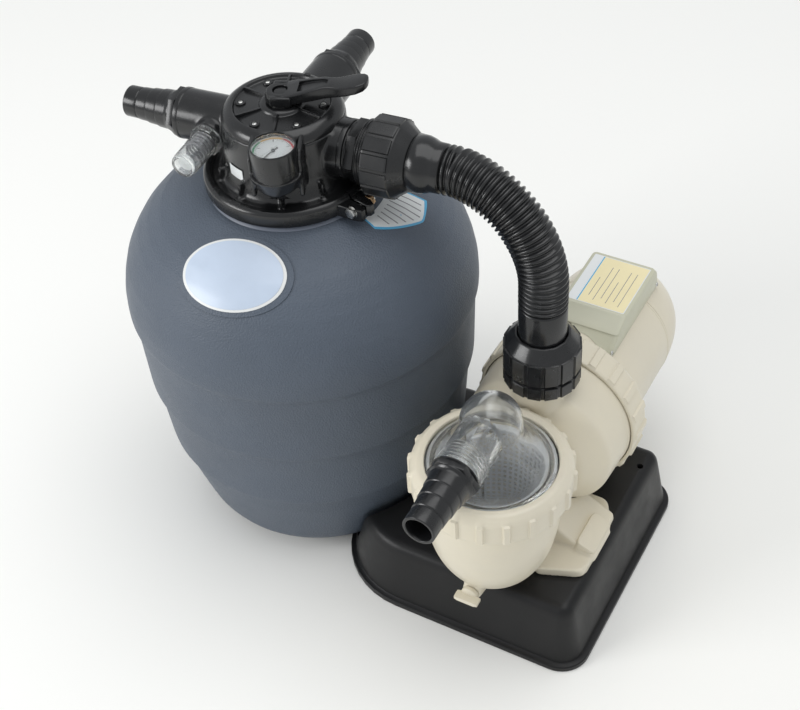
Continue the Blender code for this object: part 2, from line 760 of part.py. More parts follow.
def make_sight_glass():
    waste = port_angles()["waste"]
    frame = heading(waste + 90, 0, PORT_HEIGHT, polar(waste, SIGHT_OFFSET))
    glass = [
        (8, 23),
        (12, 23),
        (12, SIGHT_BOSS_REACH + GAP),
        (SIGHT_RADIUS + 2, SIGHT_BOSS_REACH + GAP),
        (SIGHT_RADIUS + 2, SIGHT_BOSS_REACH + 7),
        (SIGHT_RADIUS, SIGHT_BOSS_REACH + 7),
        (SIGHT_RADIUS, SIGHT_REACH),
        (0, SIGHT_REACH),
        (0, SIGHT_REACH - 3),
        (10, SIGHT_REACH - 3),
        (10, SIGHT_BOSS_REACH + 4),
        (8, SIGHT_BOSS_REACH + 4),
    ]
    revolve("sight_glass", glass, clear(), frame, BORE_SEGMENTS)


def make_tail(name, frame, thread, root, tip, end=TAIL_LENGTH):
    """A stepped hose tail whose thread goes in behind its local zero and whose barrel stands out of it."""
    outline = [
        (TAIL_BORE, -THREAD_LENGTH + 1),
        (thread, -THREAD_LENGTH + 1),
        (thread, GAP),
        (root, GAP),
        (root, 12),
        (tip + 4, 14),
        (tip + 2, 31),
        (tip, 48),
        (tip, end),
        (TAIL_BORE, end),
    ]
    revolve(name, outline, black(), frame, BORE_SEGMENTS)


def make_tails():
    for name in ("waste", "return"):
        frame = heading(port_angles()[name], SIDE_PORT_FACE, PORT_HEIGHT)
        make_tail(f"{name}_hose_tail", frame, THREAD_RADIUS, SIDE_PORT_RADIUS - 1, 17)
    suction = place(PUMP_X, SOCKET_FACE, ELBOW_HEIGHT, (0, -1, 0))
    make_tail("suction_hose_tail", suction, SUCTION_BORE - GAP, 28, 17.5, SUCTION_TAIL_LENGTH)


# Unions and hose ------------------------------------------------------------------------------------------


def union_nut(name, seat, frame):
    """The nut reaches back over the thread, and its nose holds the hose flange at seat."""
    back = seat - 22
    front = back + NUT_LENGTH
    lip = seat + HOSE_FLANGE_THICKNESS + GAP
    outside = [
        (UNION_RADIUS, back, True),
        (UNION_RADIUS, back + 30, True),
        (UNION_RADIUS - 2, back + 32, False),
        (NUT_NOSE, front, False),
    ]
    inside = [
        (HOSE_RADIUS + 1.5, front),
        (HOSE_RADIUS + 1.5, lip),
        (UNION_THREAD + 0.5, lip),
        (UNION_THREAD + 0.5, back),
    ]
    ribbed_ring(name, inside, outside, 12, 2.0, black(), frame)


def hose_route():
    """Points of the hose's centre line, from the seat on the valve to the seat on the pump."""
    way = Vector((*polar(VALVE_TURN, 1), 0))
    top = Vector((0, 0, PORT_HEIGHT))
    end = Vector((PUMP_X, DISCHARGE_Y, 0))
    start = top + way * BEND_START
    across = Vector((end.x - start.x, end.y - start.y, 0))
    bend = across.length
    points = [top + way * (PORT_SEAT + GAP), top + way * (PORT_SEAT + HOSE_FLANGE_THICKNESS)]
    points += [top + way * (PORT_SEAT + HOSE_FLANGE_THICKNESS), top + way * 160]
    steps = 9
    for i in range(steps + 1):
        turn = pi / 2 * i / steps
        points.append(start + across * sin(turn) - Vector((0, 0, bend * (1 - cos(turn)))))
    flange = COLLAR_TOP + HOSE_FLANGE_THICKNESS
    low = PORT_HEIGHT - bend
    points += [Vector((end.x, end.y, (low + flange) / 2)), Vector((end.x, end.y, flange))]
    points += [Vector((end.x, end.y, flange)), Vector((end.x, end.y, COLLAR_TOP + GAP))]
    return points


def make_hose():
    points = hose_route()
    last = len(points) - 1
    sides = 12
    mesh = bmesh.new()
    outer, inner = [], []
    for i, point in enumerate(points):
        flange = i < 2 or i > last - 2
        before, after = points[max(i - 1, 0)], points[min(i + 1, last)]
        tangent = (after - before).normalized()
        side = tangent.cross(Vector((0, 1, 0))).normalized()
        other = tangent.cross(side)
        for rings, radius in ((outer, HOSE_FLANGE if flange else HOSE_RADIUS), (inner, HOSE_BORE)):
            ring = []
            for k in range(sides):
                turn = 2 * pi * k / sides
                ring.append(mesh.verts.new(point + (side * cos(turn) + other * sin(turn)) * radius))
            rings.append(ring)
    skin(mesh, outer + inner[::-1], loop=True)
    bmesh.ops.remove_doubles(mesh, verts=mesh.verts, dist=0.01)
    finish(mesh, "connecting_hose", material("hose_black", (0.01, 0.01, 0.011), 0.35), Matrix.Identity(4))


def make_unions():
    valve = heading(VALVE_TURN, 0, PORT_HEIGHT)
    adapter = [
        (PORT_BORE, PUMP_PORT_FACE - THREAD_LENGTH + 1),
        (THREAD_RADIUS, PUMP_PORT_FACE - THREAD_LENGTH + 1),
        (THREAD_RADIUS, PUMP_PORT_FACE + GAP),
        (PUMP_PORT_RADIUS + 3, PUMP_PORT_FACE + GAP),
        (PUMP_PORT_RADIUS + 3, PUMP_PORT_FACE + 16),
        (UNION_THREAD, PUMP_PORT_FACE + 16),
        (UNION_THREAD, PORT_SEAT),
        (PORT_BORE, PORT_SEAT),
    ]
    revolve("pump_port_adapter", adapter, black(), valve, BORE_SEGMENTS)
    union_nut("upper_union_nut", PORT_SEAT, valve)
    upright = place(PUMP_X, DISCHARGE_Y, 0)
    union_nut("lower_union_nut", COLLAR_TOP, upright)
    outside = [
        (UNION_RADIUS + 0.5, COLLAR_BOTTOM, True),
        (UNION_RADIUS + 0.5, COLLAR_TOP - 22 - 1, True),
        (UNION_THREAD, COLLAR_TOP - 22 - 1, False),
        (UNION_THREAD, COLLAR_TOP, False),
    ]
    inside = [
        (PIPE_BORE, COLLAR_TOP),
        (PIPE_BORE, PIPE_TOP + GAP),
        (PIPE_RADIUS + GAP, PIPE_TOP + GAP),
        (PIPE_RADIUS + GAP, COLLAR_BOTTOM),
    ]
    ribbed_ring("lower_union_collar", inside, outside, 12, 2.0, black(), upright)
    make_hose()


# Pump -----------------------------------------------------------------------------------------------------


def make_pump_housing():
    upright = place(PUMP_X, STRAINER_Y, 0)
    pot = [
        (0, POT_RIM - 162),
        (30, POT_RIM - 160),
        (48, POT_RIM - 148),
        (60, POT_RIM - 128),
        (67, POT_RIM - 107),
        (72, POT_RIM - 77),
        (POT_RADIUS - 2, POT_RIM - 47),
        (POT_RADIUS, LOCK_RING_BOTTOM - 6),
        (POT_RADIUS, POT_RIM),
        (0, POT_RIM),
    ]
    made = revolve("pump_housing", pot, cream(), upright)
    body = along_y()
    volute = [
        (0, -32),
        (46, -32),
        (66, -24),
        (80, -10),
        (VOLUTE_RADIUS - 3, 8),
        (VOLUTE_RADIUS, 30),
        (VOLUTE_RADIUS, 42),
        (PLATE_RADIUS, 43),
        (PLATE_RADIUS, VOLUTE_FACE),
        (0, VOLUTE_FACE),
    ]
    join(made, revolve("volute", volute, None, body))
    join(made, cylinder("pump_throat", 42, STRAINER_Y + 20, -30, None, body, BORE_SEGMENTS))
    outlet = place(PUMP_X, DISCHARGE_Y, 0)
    join(made, cylinder("discharge_pipe", PIPE_RADIUS, PUMP_Z + 40, PIPE_TOP, None, outlet))
    plug = place(PUMP_X, STRAINER_Y, DRAIN_PLUG_HEIGHT, (0, -1, 0))
    face = STRAINER_Y - DRAIN_PLUG_FACE
    join(made, cylinder("drain_boss", 10, 20, face, None, plug, SMALL_SEGMENTS))
    inside = [
        (0, POT_RIM - 154),
        (28, POT_RIM - 153),
        (43, POT_RIM - 143),
        (54, POT_RIM - 125),
        (61, POT_RIM - 104),
        (62.5, POT_RIM - 77),
        (62.5, POT_RIM - 10),
        (POT_BORE, POT_RIM - 10),
        (POT_BORE, POT_RIM + 5),
        (0, POT_RIM + 5),
    ]
    cut(made, revolve("pot_cavity", inside, None, upright))
    cut(made, cylinder("volute_cavity", VOLUTE_CAVITY, -8, VOLUTE_FACE + 5, None, body))
    cut(made, cylinder("suction_eye", EYE_RADIUS, STRAINER_Y + 30, 0, None, body, BORE_SEGMENTS))
    cut(made, cylinder("discharge_bore", PIPE_BORE, PUMP_Z + 55, PIPE_TOP + 5, None, outlet, BORE_SEGMENTS))
    cut(made, cylinder("drain_hole", DRAIN_PLUG_BORE, 20, face + 5, None, plug, SMALL_SEGMENTS))
    groove = ((67.5, POT_RIM - 2.7), (71.5, POT_RIM - 2.7), (71.5, POT_RIM + 3), (67.5, POT_RIM + 3))
    cut(made, revolve("lid_groove", groove, None, upright))
    ring = ((67.8, POT_RIM - 2.4), (71.2, POT_RIM - 2.4), (71.2, POT_RIM), (67.8, POT_RIM))
    revolve("lid_oring", ring, rubber(), upright)
    seat = place(PUMP_X, DRAIN_PLUG_FACE, DRAIN_PLUG_HEIGHT, (0, -1, 0))
    stem = turning(DRAIN_PLUG_BORE, SMALL_SEGMENTS)
    plug = [(0, -12), (stem, -12), (stem, GAP), (10, GAP), (10, 5), (5, 6), (0, 6)]
    drain = revolve("pump_drain_plug", plug, cream(), seat, SMALL_SEGMENTS)
    join(drain, box("drain_plug_wing", (-14, -2.2, 4), (14, 2.2, 15), None, seat))


def make_strainer():
    upright = place(PUMP_X, STRAINER_Y, 0)
    low = POT_RIM + GAP
    inner = 3.0
    riser = ELBOW_RADIUS - inner
    lid = [
        (LID_RADIUS, low),
        (LID_RADIUS, low + LID_THICKNESS),
        (LENS_RADIUS, low + LID_THICKNESS),
        (LENS_RADIUS - 2, low + LID_THICKNESS + 3),
        (ELBOW_RADIUS + 5, low + LID_THICKNESS + 4),
        (ELBOW_RADIUS, low + LID_THICKNESS + 10),
    ]
    dome = [(ELBOW_RADIUS * cos(radians(t)), ELBOW_HEIGHT + ELBOW_RADIUS * sin(radians(t))) for t in (0, 22, 45, 68)]
    under = [(riser * cos(radians(t)), ELBOW_HEIGHT + riser * sin(radians(t))) for t in (68, 45, 22, 0)]
    shape = lid + dome + [(0, ELBOW_HEIGHT + ELBOW_RADIUS), (0, ELBOW_HEIGHT + riser)] + under
    shape += [(riser, low + LID_THICKNESS + 2), (LENS_RADIUS - 8, low)]
    made = revolve("pump_lid", shape, clear(), upright)
    elbow = place(PUMP_X, STRAINER_Y, ELBOW_HEIGHT, (0, -1, 0))
    face = STRAINER_Y - SOCKET_FACE
    join(made, cylinder("lid_socket", SOCKET_RADIUS, 22, face, None, elbow))
    cut(made, cylinder("lid_socket_bore", SUCTION_BORE, 10, face + 5, None, elbow, BORE_SEGMENTS))
    ring_low, ring_high = LOCK_RING_BOTTOM, LOCK_RING_TOP
    outside = [
        (LOCK_RING_RADIUS - 1, ring_low, False),
        (LOCK_RING_RADIUS, ring_low + 4, True),
        (LOCK_RING_RADIUS, ring_high - 4, True),
        (LOCK_RING_RADIUS - 4, ring_high, False),
    ]
    inside = [
        (LENS_RADIUS + 1, ring_high),
        (LENS_RADIUS + 1, low + LID_THICKNESS + GAP),
        (POT_RADIUS + 0.4, low + LID_THICKNESS + GAP),
        (POT_RADIUS + 0.4, ring_low),
    ]
    ribbed_ring("lock_ring", inside, outside, 18, 2.5, cream(), upright)
    rim = POT_RIM - 10 + GAP
    basket = [
        (0, POT_RIM - 122),
        (52, POT_RIM - 122),
        (58, rim),
        (POT_BORE - 0.6, rim),
        (POT_BORE - 0.6, rim + 3),
        (56, rim + 3),
        (50, POT_RIM - 119.5),
        (0, POT_RIM - 119.5),
    ]
    revolve("strainer_basket", basket, white(), upright)


def make_pump_foot():
    low = BASE_HEIGHT + GAP
    outline = (
        (PUMP_X - 100, -56),
        (PUMP_X - 60, -66),
        (PUMP_X + 34, -66),
        (PUMP_X + 44, -110),
        (PUMP_X + 98, -88),
        (PUMP_X + 100, -14),
        (PUMP_X + 80, 24),
        (PUMP_X - 72, 24),
        (PUMP_X - 100, 0),
    )
    made = prism("pump_foot", outline, low, low + 12, cream())
    for side in (-1, 1):
        x = PUMP_X + side * FOOT_PAD_OFFSET
        name = f"foot_pad_{side}"
        join(made, box(name, (x - 13, -66, low + 6), (x + 13, -16, low + 16)))
    clearance = [
        (0, -34),
        (47, -34),
        (68, -26),
        (82.5, -11),
        (VOLUTE_RADIUS - 2.4, 7),
        (VOLUTE_RADIUS + 0.5, 29),
        (VOLUTE_RADIUS + 0.5, 60),
        (0, 60),
    ]
    cut(made, revolve("foot_clearance", clearance, None, along_y()))
    made = box("motor_foot", (PUMP_X - 38, 108, low), (PUMP_X + 38, 134, low + 30), black())
    cut(made, cylinder("motor_foot_saddle", MOTOR_RADIUS + GAP, 80, 160, None, along_y(), FINE_SEGMENTS))


# Motor ----------------------------------------------------------------------------------------------------


def make_pump_end():
    body = along_y()
    diffuser = [
        (EYE_RADIUS + 3, -7),
        (60, -7),
        (VOLUTE_CAVITY - 0.5, 6),
        (VOLUTE_CAVITY - 0.5, 20),
        (VOLUTE_CAVITY - 4, 20),
        (VOLUTE_CAVITY - 4, 8),
        (58, -3),
        (EYE_RADIUS + 3, -3),
    ]
    revolve("diffuser", diffuser, black(), body)
    bore = SHAFT_RADIUS + GAP
    impeller = [
        (bore, 4),
        (EYE_RADIUS, 4),
        (EYE_RADIUS + 2, 10),
        (IMPELLER_RADIUS, 14),
        (IMPELLER_RADIUS, 24),
        (20, 28),
        (bore, 32),
    ]
    revolve("impeller", impeller, black(), body)
    seal = BEARING_RADIUS - 2
    revolve("shaft_seal", ((bore, 36), (seal, 36), (seal, 58), (bore, 58)), rubber(), body)
    low, high = VOLUTE_FACE + GAP, VOLUTE_FACE + PLATE_THICKNESS
    plate = [
        (seal + GAP, low - 8),
        (seal + 5, low - 8),
        (seal + 5, low),
        (PLATE_RADIUS, low),
        (PLATE_RADIUS, high),
        (seal + GAP, high),
    ]
    revolve("seal_plate", plate, black(), body)
    outside = [
        (RING_RADIUS, RING_FRONT, True),
        (RING_RADIUS, RING_BACK - 4, True),
        (RING_RADIUS - 5, RING_BACK, False),
    ]
    lip = high + 6 + GAP
    inside = [
        (MOTOR_RADIUS + 1, RING_BACK),
        (MOTOR_RADIUS + 1, lip),
        (PLATE_RADIUS + 0.4, lip),
        (PLATE_RADIUS + 0.4, RING_FRONT),
    ]
    ribbed_ring("motor_ring", inside, outside, 20, 2.0, cream(), body)


def make_motor():
    body = along_y()
    front = VOLUTE_FACE + PLATE_THICKNESS + GAP
    seat = BEARING_RADIUS + GAP
    wall = MOTOR_RADIUS - MOTOR_WALL
    back = MOTOR_BACK
    housing = [
        (seat, front),
        (PLATE_RADIUS, front),
        (PLATE_RADIUS, front + 5.7),
        (MOTOR_RADIUS, front + 5.7),
        (MOTOR_RADIUS, back),
        (seat, back),
        (seat, back - BEARING_WIDTH),
        (seat + 5, back - BEARING_WIDTH),
        (seat + 5, back - 4),
        (wall, back - 4),
        (wall, front + 4),
        (seat + 5, front + 4),
        (seat + 5, front + BEARING_WIDTH),
        (seat, front + BEARING_WIDTH),
    ]
    revolve("motor_housing", housing, cream(), body, FINE_SEGMENTS)
    bore = SHAFT_RADIUS + GAP
    race = BEARING_RADIUS
    for name, low in (("front_bearing", front + 0.5), ("rear_bearing", back - BEARING_WIDTH + 0.5)):
        tube(name, bore, race, low, low + BEARING_WIDTH - 1, steel(), body, FINE_SEGMENTS)
    core = (front + 44, front + 108)
    copper = material("winding_copper", (0.5, 0.22, 0.1), 0.4, 1.0)
    tube("stator", ROTOR_RADIUS + 0.6, wall - GAP, *core, copper, body, FINE_SEGMENTS)
    tube("motor_rotor", bore, ROTOR_RADIUS, *core, steel(), body, FINE_SEGMENTS)
    cylinder("motor_shaft", SHAFT_RADIUS, 6, back + 38, steel(), body, SMALL_SEGMENTS)
    fan_low = back + 12
    fan = tube("cooling_fan", bore, 14, fan_low, fan_low + 16, black(), body, SMALL_SEGMENTS)
    for i in range(3):
        frame = body @ Matrix.Rotation(radians(60 * i), 4, "Z")
        blade = box(f"fan_blade_{i}", (-FAN_RADIUS, -1.2, fan_low + 1), (FAN_RADIUS, 1.2, fan_low + 14), None, frame)
        join(fan, blade)
    cut(fan, cylinder("fan_bore", bore, fan_low - 5, fan_low + 30, None, body, SMALL_SEGMENTS))
    profile = ((MOTOR_RADIUS, 0), (MOTOR_RADIUS - 2, 22), (MOTOR_RADIUS - 9, 45), (MOTOR_RADIUS - 25, 68))
    profile += ((MOTOR_RADIUS - 48, 84), (0, COVER_BACK - back))
    outer = [(radius, back + GAP + height) for radius, height in profile]
    inner = [(max(radius - MOTOR_WALL, 0), height - MOTOR_WALL) for radius, height in reversed(outer)]
    inner[-1] = (wall, back + GAP)
    revolve("fan_cover", outer + inner, cream(), body, FINE_SEGMENTS)


def make_terminal_box():
    left, right = BOX_X - BOX_WIDTH / 2, BOX_X + BOX_WIDTH / 2
    front, back = BOX_FRONT, BOX_BACK

    def level(height, near, far, inset=0.0):
        return [
            (left + inset, near, height),
            (right - inset, near, height),
            (right - inset, far, height),
            (left + inset, far, height),
        ]

    middle = (front + LID_FRONT) / 2 + 2
    made = loft(
        "terminal_box",
        [level(BOX_SKIRT, front, back), level(BOX_TOP - 14, front, back), level(BOX_TOP, middle, back - 3)],
        cream(),
    )
    hollow = level(BOX_SKIRT + 28, middle + 4, back - 8, BOX_WALL)
    cut(made, loft("terminal_hollow", [hollow, [(x, y, BOX_TOP + 5) for x, y, _ in hollow]]))
    cut(made, cylinder("terminal_saddle", MOTOR_RADIUS + GAP, 60, 260, None, along_y(), FINE_SEGMENTS))
    lid_low = BOX_TOP + GAP
    lid = loft(
        "terminal_lid",
        [level(lid_low, middle, back - 3), level(LID_TOP - 1.5, LID_FRONT - 1, LID_BACK), level(LID_TOP, LID_FRONT, LID_BACK - 1, 1)],
        cream(),
    )
    under = level(lid_low - 5, LID_FRONT + 8, back - 14, BOX_WALL + 1)
    cut(lid, loft("lid_hollow", [under, [(x, y, LID_TOP - 3) for x, y, _ in under]]))
    can_x = BOX_X - 18
    can_z = PUMP_Z + MOTOR_RADIUS + 4.6
    cylinder("capacitor", 6, LID_FRONT + 14, back - 30, steel(), place(can_x, 0, can_z, (0, 1, 0)), SMALL_SEGMENTS)
    wall = place(left, 160, BOX_TOP - 5.5, (-1, 0, 0))
    cut(made, cylinder("gland_hole", 5, -10, 5, None, wall, 12))
    gland = [(2.8, -6), (4.7, -6), (4.7, GAP), (7, GAP), (7, 8), (6, 9), (6, 15), (2.8, 16)]
    revolve("cable_gland", gland, black(), wall, 12)


for old in list(bpy.data.objects):
    bpy.data.objects.remove(old, do_unlink=True)
bpy.context.scene.unit_settings.scale_length = 1.0
make_base()
make_tank()
make_tank_inside()
make_clamp()
make_valve_body()
make_handle(make_valve_top())
make_gauge()
make_sight_glass()
make_tails()
make_unions()
make_pump_housing()
make_strainer()
make_pump_foot()
make_pump_end()
make_motor()
make_terminal_box()
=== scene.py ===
from math import cos, pi, radians, sin

import bmesh
import bpy
from mathutils import Matrix, Vector


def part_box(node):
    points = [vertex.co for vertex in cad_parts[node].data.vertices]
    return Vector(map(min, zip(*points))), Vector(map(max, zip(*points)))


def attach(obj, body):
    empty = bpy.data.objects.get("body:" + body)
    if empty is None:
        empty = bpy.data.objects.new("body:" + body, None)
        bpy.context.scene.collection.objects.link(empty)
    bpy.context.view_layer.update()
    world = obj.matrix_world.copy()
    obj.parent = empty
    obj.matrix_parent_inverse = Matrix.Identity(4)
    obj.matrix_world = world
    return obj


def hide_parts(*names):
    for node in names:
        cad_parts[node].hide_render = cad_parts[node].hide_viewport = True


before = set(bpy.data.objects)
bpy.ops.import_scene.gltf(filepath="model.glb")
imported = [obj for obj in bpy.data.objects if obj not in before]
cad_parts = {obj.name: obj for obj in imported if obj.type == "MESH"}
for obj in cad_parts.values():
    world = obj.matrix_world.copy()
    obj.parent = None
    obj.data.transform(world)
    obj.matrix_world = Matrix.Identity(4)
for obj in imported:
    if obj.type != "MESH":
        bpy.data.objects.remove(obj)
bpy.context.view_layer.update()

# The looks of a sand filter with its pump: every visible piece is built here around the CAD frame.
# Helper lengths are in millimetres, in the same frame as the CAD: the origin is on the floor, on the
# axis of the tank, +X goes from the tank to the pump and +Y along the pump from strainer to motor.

MM = 0.001
GAP = 0.3  # between neighbouring pieces, as in the CAD


def low(node):
    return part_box(node)[0] / MM


def high(node):
    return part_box(node)[1] / MM


def middle(node):
    return (low(node) + high(node)) / 2


PUMP = middle("motor_shaft")
POT = middle("lock_ring")
PIPE = middle("lower_union_collar")
GAUGE = middle("gauge_case")
TANK_RADIUS = high("tank").x
LIP_TOP = high("tank").z
BASE_TOP = low("pump_foot").z - GAP
TURN = 5.0  # degrees from +X to the valve's port for the pump
PORT_Z = middle("waste_hose_tail").z
BODY_TOP = low("valve_cover").z - GAP
NEEDLE_REST = 256.0  # degrees, as in the CAD
PLUG = middle("pump_drain_plug")
DRAIN_FACE = low("pump_drain_plug").y + 15
PIPE_TOP = low("lower_union_collar").z + 33
POT_RIM = low("pump_lid").z - GAP
ELBOW = middle("suction_hose_tail")
SOCKET_FACE = low("suction_hose_tail").y + 77
COVER_BACK = high("fan_cover").y
BOX = middle("terminal_box")

# ---- Camera ----

camera_data = bpy.data.cameras.new("camera")
camera_data.lens = 65.8
camera_data.sensor_width = 36.0
camera_data.clip_end = 50
camera = bpy.data.objects.new("camera", camera_data)
bpy.context.scene.collection.objects.link(camera)
turned = Matrix.Rotation(radians(31.39), 4, "Z") @ Matrix.Rotation(radians(46.2), 4, "X")
camera.matrix_world = Matrix.Translation((0.751, -1.033, 1.404)) @ turned @ Matrix.Rotation(radians(-4.07),
    4, "Z")
bpy.context.scene.camera = camera

# ---- Materials ----


class Paint:
    """A node material under construction: each method adds one kind of surface detail."""

    def __init__(self, name, color, roughness, **sockets):
        self.material = bpy.data.materials.new(name)
        self.material.use_nodes = True
        self.tree = self.material.node_tree
        self.shader = self.tree.nodes["Principled BSDF"]
        self.color = color
        self.roughness = roughness
        self.shader.inputs["Base Color"].default_value = (*color, 1)
        self.shader.inputs["Roughness"].default_value = roughness
        for key, value in sockets.items():
            self.shader.inputs[key.replace("_", " ")].default_value = value
        self.place = self.node("ShaderNodeTexCoord").outputs["Object"]
        self.normal = None

    def node(self, kind, sockets=None, **settings):
        made = self.tree.nodes.new(kind)
        for key, value in settings.items():
            setattr(made, key, value)
        for key, value in (sockets or {}).items():
            made.inputs[key].default_value = value
        return made

    def link(self, start, end):
        self.tree.links.new(start, end)

    def noise(self, scale, detail=2.0, rough=0.5, stretch=None):
        made = self.node("ShaderNodeTexNoise", {"Scale": scale, "Detail": detail, "Roughness": rough})
        source = self.place
        if stretch:
            mapping = self.node("ShaderNodeMapping", {"Scale": stretch})
            self.link(source, mapping.inputs["Vector"])
            source = mapping.outputs["Vector"]
        self.link(source, made.inputs["Vector"])
        return made.outputs["Fac"]

    def ramp(self, value, stops):
        made = self.node("ShaderNodeValToRGB")
        ramp = made.color_ramp
        while len(ramp.elements) < len(stops):
            ramp.elements.new(0.5)
        for element, (at, color) in zip(ramp.elements, stops):
            element.position = at
            element.color = (*color, 1)
        self.link(value, made.inputs["Fac"])
        return made.outputs["Color"]

    def cloudy(self, scale, spread, warm=(1, 1, 1)):
        """Slow colour changes, as moulded plastic shows."""
        dark = tuple(c * (1 - spread) for c in self.color)
        pale = tuple(c * (1 + spread) * w for c, w in zip(self.color, warm))
        self.link(self.ramp(self.noise(scale, 5, 0.6), [(0.3, dark), (0.7, pale)]),
            self.shader.inputs["Base Color"])
        return self

    def worn(self, scale, spread, stretch=None):
        """Roughness that changes from place to place, as handling and dust leave it."""
        smooth, rough = max(self.roughness - spread, 0.02), self.roughness + spread
        span = self.node(
            "ShaderNodeMapRange", {"From Min": 0.3, "From Max": 0.7, "To Min": smooth, "To Max": rough})
        self.link(self.noise(scale, 4, 0.6, stretch), span.inputs["Value"])
        self.link(span.outputs["Result"], self.shader.inputs["Roughness"])
        return self

    def bump(self, height, distance, strength=1.0):
        made = self.node("ShaderNodeBump", {"Distance": distance, "Strength": strength})
        self.link(height, made.inputs["Height"])
        if self.normal:
            self.link(self.normal, made.inputs["Normal"])
        self.normal = made.outputs["Normal"]
        self.link(self.normal, self.shader.inputs["Normal"])
        return self

    def grain(self, scale, distance, strength=1.0):
        return self.bump(self.noise(scale), distance, strength)

    def leather(self, scale, distance):
        """Small raised cells with creases between them."""
        cells = self.node("ShaderNodeTexVoronoi", feature="SMOOTH_F1")
        cells.inputs["Scale"].default_value = scale
        cells.inputs["Smoothness"].default_value = 0.6
        wander = self.node("ShaderNodeVectorMath", operation="MULTIPLY_ADD")
        wobble = self.node("ShaderNodeTexNoise", {"Scale": scale * 0.6})
        self.link(self.place, wobble.inputs["Vector"])
        self.link(wobble.outputs["Color"], wander.inputs[0])
        wander.inputs[1].default_value = (0.9 / scale,) * 3
        self.link(self.place, wander.inputs[2])
        self.link(wander.outputs["Vector"], cells.inputs["Vector"])
        return self.bump(cells.outputs["Distance"], distance)


def black_gloss(name, roughness=0.24):
    paint = Paint(name, (0.0095, 0.0098, 0.0105), roughness, Specular_IOR_Level=0.55)
    return paint.cloudy(9, 0.25).worn(60, 0.06).grain(900, 0.00004).grain(14, 0.0008, 0.35).material


def cream_plastic(name, color=(0.72, 0.665, 0.54)):
    paint = Paint(name, color, 0.36, Coat_Weight=0.12, Coat_Roughness=0.2)
    return paint.cloudy(11, 0.035, (1.0, 0.995, 0.97)).worn(35, 0.06).grain(700, 0.00005).grain(16, 0.0007,
        0.3).material


def metal(name, color, roughness):
    return Paint(name, color, roughness, Metallic=1.0).worn(220, 0.08, (1, 1, 6)).grain(1500,
        0.00002).material


BLACK = black_gloss("valve_black")
HOSE = black_gloss("hose_black", 0.2)
NUT = black_gloss("nut_black", 0.3)
CREAM = cream_plastic("pump_cream")
CREAM_BOX = cream_plastic("box_cream", (0.55, 0.545, 0.425))
TANK = Paint("tank_blue_grey", (0.09, 0.11, 0.141), 0.48, Specular_IOR_Level=0.34).cloudy(6, 0.07).worn(25,
    0.05)
TANK = TANK.leather(520, 0.0005).grain(900, 0.00018).grain(7, 0.004, 0.5).material
NECK = Paint("neck_blue_grey", (0.15, 0.17, 0.215), 0.42).cloudy(12, 0.05).grain(300, 0.0001).material
BASE = Paint("base_black", (0.0085, 0.0085, 0.009), 0.38, Specular_IOR_Level=0.3)
BASE = BASE.cloudy(8, 0.3).worn(30, 0.07).grain(650, 0.0001).grain(10, 0.0012, 0.4).material
CLEAR = Paint("clear_polycarbonate", (0.97, 0.985, 0.985), 0.03, Transmission_Weight=1.0, IOR=1.45,
    Alpha=0.84)
CLEAR = CLEAR.grain(30, 0.0004, 0.3).material
BASKET = Paint("basket_grey", (0.78, 0.79, 0.8), 0.4).cloudy(20, 0.05).grain(500, 0.0001).material
RUBBER = Paint("seal_rubber", (0.018, 0.018, 0.019), 0.6).cloudy(40, 0.2).grain(800, 0.0001).material
STEEL = metal("zinc_steel", (0.62, 0.62, 0.6), 0.28)
COPPER = metal("winding_copper", (0.72, 0.35, 0.18), 0.35)
BRASS = metal("brass", (0.78, 0.52, 0.3), 0.3)
DIAL = Paint("dial_white", (0.8, 0.82, 0.82), 0.35).cloudy(60, 0.02).grain(900, 0.00002).material
INK = Paint("dial_ink", (0.015, 0.015, 0.015), 0.4).cloudy(50, 0.1).material
GREEN = Paint("dial_green", (0.03, 0.3, 0.12), 0.4).cloudy(50, 0.1).material
AMBER = Paint("dial_amber", (0.75, 0.4, 0.03), 0.4).cloudy(50, 0.1).material
RED = Paint("dial_red", (0.6, 0.03, 0.03), 0.4).cloudy(50, 0.1).material
PAPER = Paint("label_white", (0.78, 0.8, 0.8), 0.4).cloudy(30, 0.02).grain(600, 0.00003).material
BLUE = Paint("label_blue", (0.1, 0.42, 0.68), 0.4).cloudy(30, 0.05).material
YELLOW = Paint("label_yellow", (0.88, 0.78, 0.48), 0.42).cloudy(14, 0.04).grain(500, 0.00003).material
BADGE = Paint("badge_silver", (0.5, 0.58, 0.7), 0.3).cloudy(5, 0.12).grain(700, 0.00003).material
GREY = Paint("print_grey", (0.25, 0.25, 0.26), 0.5).cloudy(40, 0.1).material
WHITE = Paint("plain_white", (0.7, 0.71, 0.7), 0.4).cloudy(20, 0.04).grain(400, 0.0001).material

# ---- Mesh helpers ----


def place(x=0.0, y=0.0, z=0.0, direction=(0, 0, 1)):
    turn = Vector(direction).to_track_quat("Z", "Y").to_matrix().to_4x4()
    return Matrix.Translation(Vector((x, y, z))) @ turn


def shift(x, y, z):
    return Matrix.Translation((x, y, z))


def spin(angle, matrix=Matrix.Identity(4)):
    return Matrix.Rotation(radians(angle), 4, "Z") @ matrix


def port_frame(angle, offset=0.0):
    way = Vector((cos(radians(angle)), sin(radians(angle)), 0))
    side = Matrix((way.cross(Vector((0, 0, 1))) * -1, Vector((0, 0, 1)), way)).transposed().to_4x4()
    return Matrix.Translation(Vector((0, 0, PORT_Z)) + way * offset) @ side


